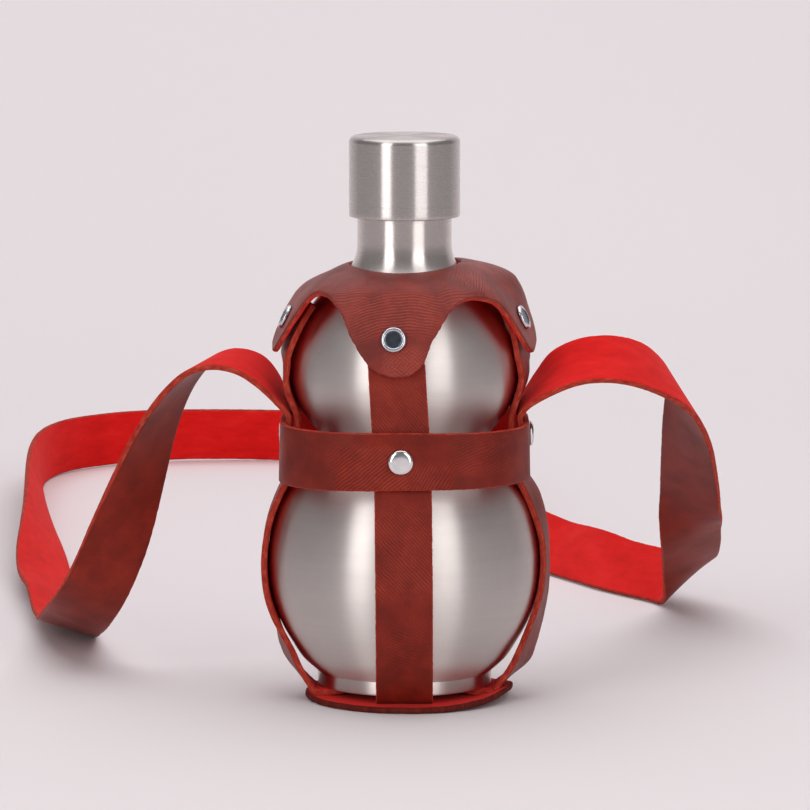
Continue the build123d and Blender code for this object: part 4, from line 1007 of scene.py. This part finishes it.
fb = fb_rows(-1) + fb_rows(1)[::-1]
c_fb, w_fb = sweep_rows(fb, 0.75)
strip_fb = band("strip_fb", c_fb, w_fb, [M_GRAIN_STRIP, M_SUEDE, M_CUT], width=18.3, rag=0.12, seed=1.7, cup=0.0, ripple=0.05)
dress(strip_fb, "strip_front_back")


def lr_rows(sign):
    side = "left" if sign < 0 else "right"
    top = top_rows(side)
    q = top[2]
    turn = radians(8.0)
    rows = [np.r_[p, sign * sin(turn), cos(turn), 0.0] for p in top]

    def shift(z):
        if z > 84:
            return -1.5 + (q[1] + 1.5) * (z - 84) / 41.0
        return -1.5 if z > 50 else -1.5 - 4.5 * (50 - z) / 45.0

    wall_z = np.r_[low_run[:, 1], up_run[1:, 1]]
    wall_r = np.r_[low_run[:, 0], up_run[1:, 0]]
    wall_s = np.gradient(wall_r) / np.gradient(wall_z)
    for z, x, lean in (LEFT_RUN if sign < 0 else RIGHT_RUN):
        a = radians(lean)
        y = shift(z)
        least = 0.0
        for e in np.linspace(-9.0, 9.0, 13):           # clear of the steel across the whole width
            yy = y + e * cos(a)
            rr = np.interp(z, wall_z, wall_r) + 1.06 * sqrt(1 + np.interp(z, wall_z, wall_s) ** 2)
            least = max(least, sqrt(max(0.0, rr * rr - yy * yy)) - e * sin(a))
        rows.append(np.array([sign * max(x, least), y, z, sign * sin(a), cos(a), 0.0]))
    a0 = radians(9.0 if sign < 0 else 15.0)
    for x, z in under(28.2, 5.5, 2.5, 58):
        rows.append(np.array([sign * x, shift(z), z, sign * sin(a0) * z / 11.0, cos(a0 * z / 11.0), 0.0]))
    rows += [np.array([sign * x, -6.0, z, 0, 1, 0]) for x, z in ((24.5, 3.0), (21.0, 3.4), (15.0, 4.7), (11.0, 5.1))]
    return rows


lr = lr_rows(-1) + lr_rows(1)[::-1]
c_lr, w_lr = sweep_rows(lr, 0.75)
strip_lr = band("strip_lr", c_lr, -w_lr, [M_GRAIN_STRIP, M_SUEDE, M_CUT], width=18.0, rag=0.14, seed=5.3, ripple=0.05)
dress(strip_lr, "strip_left_right")

# ------------------------------------------------------------ belt
BELT_X, BELT_Y, BELT_R = 40.5, 42.6, 31.4


def belt_path(step):
    """Outer face's path, anticlockwise from the back at x = +9 round to the lap at x = -9."""
    hx, hy, r = BELT_X, BELT_Y, BELT_R
    pts = [(x, hy) for x in np.arange(9.0, -(hx - r), -step)]
    for cx, cy, a0 in ((-(hx - r), hy - r, 90), (-(hx - r), -(hy - r), 180), (hx - r, -(hy - r), 270), (hx - r, hy - r, 0)):
        n = int(r * pi / 2 / step)
        pts += [(cx + r * cos(radians(a0 + 90.0 * k / n)), cy + r * sin(radians(a0 + 90.0 * k / n))) for k in range(n + 1)]
    pts += [(x, hy) for x in np.arange(hx - r - step, -9.0, -step)]
    return np.array(pts)


def tidy(points, step):
    p = [points[0]]
    for q in points[1:]:
        if np.linalg.norm(q - p[-1]) > 1e-3:
            p.append(q)
    p = np.array(p)
    s = np.r_[0, np.cumsum(np.linalg.norm(np.diff(p, axis=0), axis=1))]
    n = int(s[-1] / step) + 1
    u = np.linspace(0, s[-1], n)
    return np.stack([np.interp(u, s, p[:, k]) for k in range(p.shape[1])], axis=1), u


bp, bs = tidy(belt_path(0.5), 0.8)
for _ in range(6):
    bp[1:-1] = 0.25 * bp[:-2] + 0.5 * bp[1:-1] + 0.25 * bp[2:]
run2 = unit(np.gradient(bp, axis=0))
nrm2 = np.stack([run2[:, 1], -run2[:, 0]], axis=1)
total = bs[-1]
lift = T * smooth((bs - (total - 18.0 - 13.0)) / 13.0)
az = np.degrees(np.arctan2(bp[:, 1], bp[:, 0])) % 360.0
# upper and lower edge by azimuth: right 0, back 90, left 180, front 270
z_top = np.interp(az, [0, 90, 180, 270, 360], [90.7, 91.0, 91.1, 91.6, 90.7])
z_low = np.interp(az, [0, 90, 180, 270, 360], [73.3, 72.8, 71.6, 73.2, 73.3])
flare = np.interp(az, [0, 90, 180, 270, 360], [0.3, 0.5, 0.5, 0.4, 0.3])
width_b = z_top - z_low
lean_b = flare / width_b
cen = np.stack([bp[:, 0] + nrm2[:, 0] * (lift - T / 2 - flare / 2 + 0.25), bp[:, 1] + nrm2[:, 1] * (lift - T / 2 - flare / 2 + 0.25),
                (z_top + z_low) / 2], axis=1)
acr = np.stack([-nrm2[:, 0] * lean_b, -nrm2[:, 1] * lean_b, np.ones(len(bp))], axis=1)
belt = band("belt", cen, acr, [M_GRAIN_BELT, M_SUEDE, M_CUT], width=18.0, widths=width_b, rag=0.13, seed=9.1, ripple=0.08)
dress(belt, "waist_belt")


# ------------------------------------------------------------ pad
def base_pad():
    hx, hy = 0.0, -6.0
    cx, cy, R = 1.5, -3.5, 33.8
    seg = 240
    th = np.linspace(0, 2 * pi, seg, endpoint=False)
    rad = 0.6
    rows = [("b", 4.3, 0.0), ("b", 4.3, 0.5), ("b", 4.3, 0.95), ("b", 1.6, 0.95), ("b", 1.6, 1.5), ("b", 1.6, T), ("b", 2.2, T)]
    verts, uv = [], []
    out_r = []
    for a in th:
        # distance from the hole to the round outline
        dx, dy = cos(a), sin(a)
        ox, oy = hx - cx, hy - cy
        b = ox * dx + oy * dy
        out_r.append(-b + sqrt(b * b - (ox * ox + oy * oy - R * R)))
    out_r = np.array(out_r)
    ring_pts = []
    for k, a in enumerate(th):
        Rk = out_r[k]
        col = [(r, z) for _, r, z in rows]
        col += [(r, T) for r in np.linspace(3.0, Rk - 1.6, 30)]
        col += [(Rk - 0.9, T)]
        g = 0.22 * fbm(3.1 * cos(a) * 4, 3.1 * sin(a) * 4, 1.0, 3)
        edge = [(Rk - rad + rad * sin(radians(q)) + g, T - rad + rad * cos(radians(q))) for q in (0, 30, 60, 90)]
        edge += [(Rk + g + 0.05, T / 2)]
        edge += [(Rk - rad + rad * cos(radians(q)) + g, rad - rad * sin(radians(q))) for q in (0, 30, 60, 90)]
        col += edge + [(r, 0.0) for r in np.linspace(Rk - 1.6, 4.6, 22)]
        ring_pts.append(col)
    m = len(ring_pts[0])
    kinds = []
    for i in range(m):
        kinds.append(1 if 5 <= i < len(rows) + 31 else (2 if len(rows) + 31 <= i < len(rows) + 31 + 8 else 0))
    for k, a in enumerate(th):
        for i, (r, z) in enumerate(ring_pts[k]):
            x, y = hx + r * cos(a), hy + r * sin(a)
            q = atan2(y - cy, x - cx)
            d = sqrt((x - cx) ** 2 + (y - cy) ** 2) / R
            far = smooth((d - 0.62) / 0.38)
            da = (degrees(q) + 12.0 + 180.0) % 360.0 - 180.0
            curl = 3.0 * exp(-(da / 34.0) ** 2) * far * far
            curl += 0.5 * far * max(0.0, fbm(2.2 * cos(q), 2.2 * sin(q), 4.0, 2))
            verts.append((x, y, z + curl))
            uv.append((x, y + (60.0 if kinds[i] == 2 else 0.0)))
    faces, fm = [], []
    for k in range(seg):
        k2 = (k + 1) % seg
        for i in range(m):
            i2 = (i + 1) % m
            faces.append((k * m + i, k * m + i2, k2 * m + i2, k2 * m + i))
            fm.append(kinds[i])
    # the pad's cut edge takes the darkened cut leather: painted shade
    return new_object("pad", verts, faces, uv, fm, [M_GRAIN_STRAP, M_SUEDE, M_CUT_PAINTED_SHADE])


pad = base_pad()
dress(pad, "base_pad")


# ------------------------------------------------------------ snaps and rivets
def disc_profile(kind):
    if kind == "snap":
        # flat centre inside a raised, rounded rim
        return [(4.02, 0.02), (4.05, 0.35), (4.0, 0.7), (3.85, 0.98), (3.6, 1.15), (3.3, 1.2), (3.05, 1.14), (2.86, 0.98), (2.72, 0.86),
                (2.4, 0.82), (1.2, 0.84), (0.0, 0.85), (0.0, -2.3), (1.35, -2.3), (1.4, -2.2), (1.4, 0.0), (1.5, 0.02)]
    # flat polished head with a bevelled rim
    return [(4.02, 0.03), (4.05, 0.25), (3.98, 0.5), (3.8, 0.72), (3.5, 0.92), (3.15, 1.08), (2.9, 1.17), (2.6, 1.21), (1.4, 1.24),
            (0.0, 1.25), (0.0, 0.03)]


M_SNAP = nickel("snap_plate", roughness=0.16, base=(0.66, 0.68, 0.73))
# the snaps' flat centres: near-black plate, a painted dark reflection of the surroundings
M_SNAP_PAINTED_REFLECTION = nickel("snap_centre_painted_reflection", roughness=0.24, base=(0.115, 0.135, 0.165))
M_RIVET = nickel("rivet_plate", roughness=0.10, base=(0.80, 0.79, 0.79), scuff=0.8)


for side, az_l in LOBE_AZ.items():
    s0 = SNAP_S[side]
    p, nn = yoke_point(SNAP_AZ[side], s0), yoke_normal(SNAP_AZ[side], s0)
    prof = disc_profile("snap")
    # profile points 7 to 11, the flat centre, take the near-black plate: painted dark reflection
    cap_ob = lathe("snap_" + side, prof, [M_SNAP, M_SNAP_PAINTED_REFLECTION], seg=96, centre=p + nn * 0.15, axis=nn,
                   kinds=[1 if 7 <= k <= 11 else 0 for k in range(len(prof))])
    dress(cap_ob, "snap_cap_" + side, side + "_lobe")

RIVETS = [((-1.2, -BELT_Y, 82.3), (0, -1, 0)), ((0.0, BELT_Y + T, 82.3), (0, 1, 0)),
          ((-BELT_X, 0.0, 86.0), (-1, 0, 0)), ((BELT_X, 0.0, 86.0), (1, 0, 0))]
parts = []
for k, (p, nn) in enumerate(RIVETS):
    parts.append(lathe("rivet_%d" % k, disc_profile("rivet"), [M_RIVET], seg=96, centre=np.array(p) + (0.25 if k != 2 else -1.0) * np.array(nn), axis=nn))
for k, ob in enumerate(parts):
    dress(ob, "belt_rivet_caps", "root")


# ------------------------------------------------------------ shoulder strap
# Stations along the strap: one edge (x, y, z), then the other edge, in mm.
STRAP = [
    (-37.50, -11.00, 77.60, -37.50, 11.00, 77.60),
    (-37.50, -11.00, 84.00, -37.50, 11.00, 84.00),
    (-37.50, -11.00, 90.60, -37.50, 11.00, 90.60),
    (-37.50, -11.00, 93.00, -37.50, 11.00, 93.00),
    (-40.50, -10.50, 96.50, -39.00, 11.10, 97.00),
    (-47.30, -8.80, 102.60, -41.70, 12.00, 103.70),
    (-54.70, -6.40, 106.90, -46.80, 14.00, 109.30),
    (-63.10, -3.10, 107.90, -54.90, 17.10, 111.00),
    (-70.90, 0.60, 105.40, -62.40, 20.70, 108.00),
    (-77.20, 4.10, 99.90, -67.90, 23.90, 101.70),
    (-83.00, 7.60, 92.60, -72.30, 26.80, 93.40),
    (-89.40, 11.70, 82.20, -76.20, 29.30, 81.50),
    (-97.10, 17.20, 66.60, -80.10, 31.00, 64.10),
    (-103.20, 22.50, 53.40, -83.60, 31.50, 49.20),
    (-107.50, 27.20, 43.50, -87.00, 33.50, 38.40),
    (-111.50, 33.30, 34.80, -90.80, 38.00, 29.10),
    (-115.20, 41.40, 28.00, -94.50, 44.90, 21.40),
    (-118.30, 51.30, 22.90, -97.80, 53.90, 15.60),
    (-120.90, 63.40, 18.70, -100.40, 65.60, 11.00),
    (-123.60, 80.80, 13.80, -103.00, 82.90, 6.60),
    (-126.30, 101.30, 8.70, -105.50, 103.50, 2.00),
    (-127.70, 114.30, 7.51, -106.80, 116.50, 1.01),
    (-129.70, 129.60, 6.63, -108.60, 132.00, 1.03),
    (-132.10, 150.70, 7.32, -111.20, 153.20, 1.02),
    (-134.80, 173.40, 8.50, -114.30, 175.90, 1.00),
    (-138.20, 196.00, 7.71, -117.40, 198.50, 1.01),
    (-141.00, 219.50, 8.30, -120.40, 221.90, 1.00),
    (-142.70, 245.70, 11.52, -123.50, 247.90, 0.92),
    (-143.20, 277.60, 15.57, -126.90, 279.50, 0.77),
    (-144.10, 309.40, 17.98, -130.60, 311.00, 0.68),
    (-145.50, 341.40, 19.58, -134.60, 342.70, 0.58),
    (-147.10, 373.40, 20.64, -138.30, 374.40, 0.44),
    (-148.60, 405.50, 21.28, -141.80, 406.20, 0.38),
    (-149.50, 437.50, 21.78, -145.00, 438.00, 0.28),
    (-149.10, 466.70, 22.10, -147.50, 467.10, 0.10),
    (-147.30, 485.90, 22.30, -147.40, 486.50, 0.30),
    (-144.10, 501.20, 22.40, -145.00, 502.00, 0.40),
    (-139.20, 514.10, 22.50, -140.30, 515.10, 0.50),
    (-132.70, 524.80, 22.40, -133.70, 526.00, 0.50),
    (-124.60, 533.10, 22.40, -125.40, 534.90, 0.50),
    (-114.70, 539.40, 22.50, -115.60, 542.10, 0.70),
    (-102.60, 543.80, 22.50, -103.50, 547.70, 0.80),
    (-87.80, 546.60, 22.30, -88.50, 551.60, 0.90),
    (-70.70, 547.80, 22.10, -71.20, 553.10, 0.70),
    (-55.30, 547.80, 21.90, -55.90, 552.20, 0.40),
    (-41.20, 546.70, 22.03, -42.30, 548.60, 0.13),
    (-28.40, 543.70, 22.04, -30.20, 542.70, 0.14),
    (-16.80, 538.10, 21.98, -19.10, 535.50, 0.18),
    (-6.40, 529.90, 21.99, -8.20, 527.30, 0.19),
    (3.50, 518.50, 22.10, 3.00, 517.10, 0.20),
    (12.30, 504.70, 22.40, 13.30, 504.70, 0.40),
    (19.50, 490.20, 22.50, 21.10, 490.80, 0.60),
    (25.30, 474.50, 22.50, 26.50, 475.00, 0.50),
    (29.80, 456.20, 22.40, 29.80, 456.50, 0.40),
    (32.40, 434.40, 22.20, 30.90, 434.50, 0.30),
    (32.40, 408.50, 22.10, 29.90, 408.60, 0.30),
    (30.10, 376.80, 22.20, 28.10, 376.90, 0.30),
    (28.30, 349.10, 22.20, 28.30, 349.20, 0.20),
    (29.00, 329.60, 22.10, 29.90, 329.80, 0.10),
    (32.00, 313.50, 22.10, 32.10, 313.50, 0.10),
    (37.70, 298.80, 21.99, 34.80, 298.00, 0.19),
    (46.20, 284.80, 20.83, 38.50, 281.90, 0.43),
    (56.00, 271.00, 18.60, 43.90, 265.50, 1.00),
    (62.90, 259.10, 17.40, 49.70, 252.90, 1.00),
    (68.90, 245.10, 18.06, 56.70, 239.30, 0.66),
    (75.80, 230.90, 18.07, 63.70, 225.00, 0.67),
    (84.40, 217.20, 16.66, 70.90, 210.30, 0.76),
    (94.00, 202.60, 16.45, 80.30, 195.50, 0.75),
    (100.10, 192.60, 16.92, 86.80, 185.80, 0.72),
    (104.40, 184.60, 16.60, 90.70, 177.90, 0.80),
    (108.00, 176.20, 17.60, 92.20, 169.50, 3.80),
    (110.30, 167.40, 20.00, 91.80, 162.00, 9.30),
    (111.00, 158.60, 23.60, 91.10, 154.60, 15.10),
    (110.90, 147.10, 28.80, 90.40, 143.90, 21.50),
    (110.30, 135.20, 34.40, 89.60, 132.40, 27.40),
    (110.20, 125.00, 38.40, 88.70, 123.70, 33.80),
    (109.70, 114.00, 41.30, 87.90, 116.60, 42.70),
    (108.50, 102.90, 46.00, 88.10, 108.70, 51.70),
    (107.20, 89.90, 54.20, 87.80, 97.00, 61.60),
    (104.00, 66.30, 69.00, 87.60, 76.30, 79.90),
    (101.40, 54.20, 76.80, 88.00, 65.80, 89.80),
    (99.00, 45.80, 81.90, 88.30, 58.40, 96.40),
    (96.20, 38.00, 86.50, 86.50, 50.90, 101.40),
    (91.70, 28.80, 91.30, 82.80, 41.70, 106.70),
    (85.80, 19.50, 95.50, 77.80, 32.60, 111.30),
    (79.70, 11.50, 98.90, 71.30, 24.90, 114.20),
    (73.30, 4.90, 101.50, 64.10, 19.20, 115.30),
    (66.20, -0.80, 103.10, 56.20, 15.10, 114.50),
    (58.00, -5.50, 103.20, 48.20, 12.80, 110.70),
    (49.60, -8.70, 101.00, 43.10, 11.80, 103.90),
    (40.50, -10.50, 96.50, 39.00, 11.10, 97.00),
    (37.50, -11.00, 93.00, 37.50, 11.00, 93.00),
    (37.50, -11.00, 90.60, 37.50, 11.00, 90.60),
    (37.50, -11.00, 84.00, 37.50, 11.00, 84.00),
    (37.50, -11.00, 77.60, 37.50, 11.00, 77.60),
]
st = catmull(np.array(STRAP, float), 1.5)
a_edge, b_edge = st[:, :3], st[:, 3:]
strap = band("strap", (a_edge + b_edge) / 2, b_edge - a_edge, [M_GRAIN_STRAP, M_SUEDE, M_CUT], width=22.0,
             widths=np.linalg.norm(b_edge - a_edge, axis=1), rag=0.10, seed=3.9, ripple=0.0)
dress(strap, "shoulder_strap")


# ------------------------------------------------------------ floor, backdrop and light
def backdrop():
    """Pale sweep: a level floor that curves up behind the object."""
    rows = [(-1.6, 0.0), (-0.6, 0.0), (0.0, 0.0), (0.7, 0.0)]
    r = 0.9
    for k in range(1, 17):
        a = radians(90.0 * k / 16)
        rows.append((0.7 + r * sin(a), r - r * cos(a)))
    rows += [(1.6, 1.6), (1.6, 3.2)]
    xs = np.linspace(-2.6, 2.6, 14)
    verts = [(x * 1000, y * 1000, z * 1000 - 0.05) for y, z in rows for x in xs]
    n = len(xs)
    faces = [(i * n + j, i * n + j + 1, (i + 1) * n + j + 1, (i + 1) * n + j) for i in range(len(rows) - 1) for j in range(n - 1)]
    m, nt, b = material("backdrop_paper")
    co = object_co(nt)
    cloud = noise_tex(nt, mapped(nt, co, (1.4, 1.4, 1.4)), 1.0, 2.0, 0.5)
    link(nt, ramp(nt, cloud, [(0.3, (0.800, 0.758, 0.772)), (0.7, (0.826, 0.784, 0.792))]), b.inputs["Base Color"])
    b.inputs["Roughness"].default_value = 0.75
    b.inputs["Specular IOR Level"].default_value = 0.25
    return new_object("backdrop", verts, faces, None, [0] * len(faces), [m])


floor = backdrop()


def soft_box(name, size, place, aim, watts, colour=(1.0, 1.0, 1.0)):
    d = bpy.data.lights.new(name, "AREA")
    d.shape = "RECTANGLE"
    d.size, d.size_y = size
    d.energy = watts
    d.color = colour
    o = bpy.data.objects.new(name, d)
    o.location = place
    o.rotation_euler = (Vector(aim) - Vector(place)).to_track_quat("-Z", "Y").to_euler()
    COLL.objects.link(o)
    return o


def polar(az, r, z):
    """Point at an azimuth seen from the object: 0 is the camera's side, positive to the right."""
    a = radians(az)
    return (r * sin(a), -r * cos(a), z)


soft_box("left_box", (0.62, 1.6), polar(-38, 1.7, 0.60), (0, 0, 0.10), 10.4, (1.0, 0.985, 0.99))
soft_box("right_box", (0.82, 1.6), polar(35, 1.7, 0.60), (0, 0, 0.10), 10.0, (1.0, 0.985, 0.985))
soft_box("top_box", (2.6, 2.4), (0.0, 0.35, 1.9), (0, 0.15, 0), 29.5, (1.0, 0.970, 0.985))

world = bpy.data.worlds.new("studio")
world.use_nodes = True
bg = world.node_tree.nodes["Background"]
bg.inputs["Color"].default_value = (0.60, 0.58, 0.59, 1.0)
bg.inputs["Strength"].default_value = 0.38
bpy.context.scene.world = world
bpy.context.scene.view_settings.view_transform = "Standard"
bpy.context.scene.view_settings.look = "None"
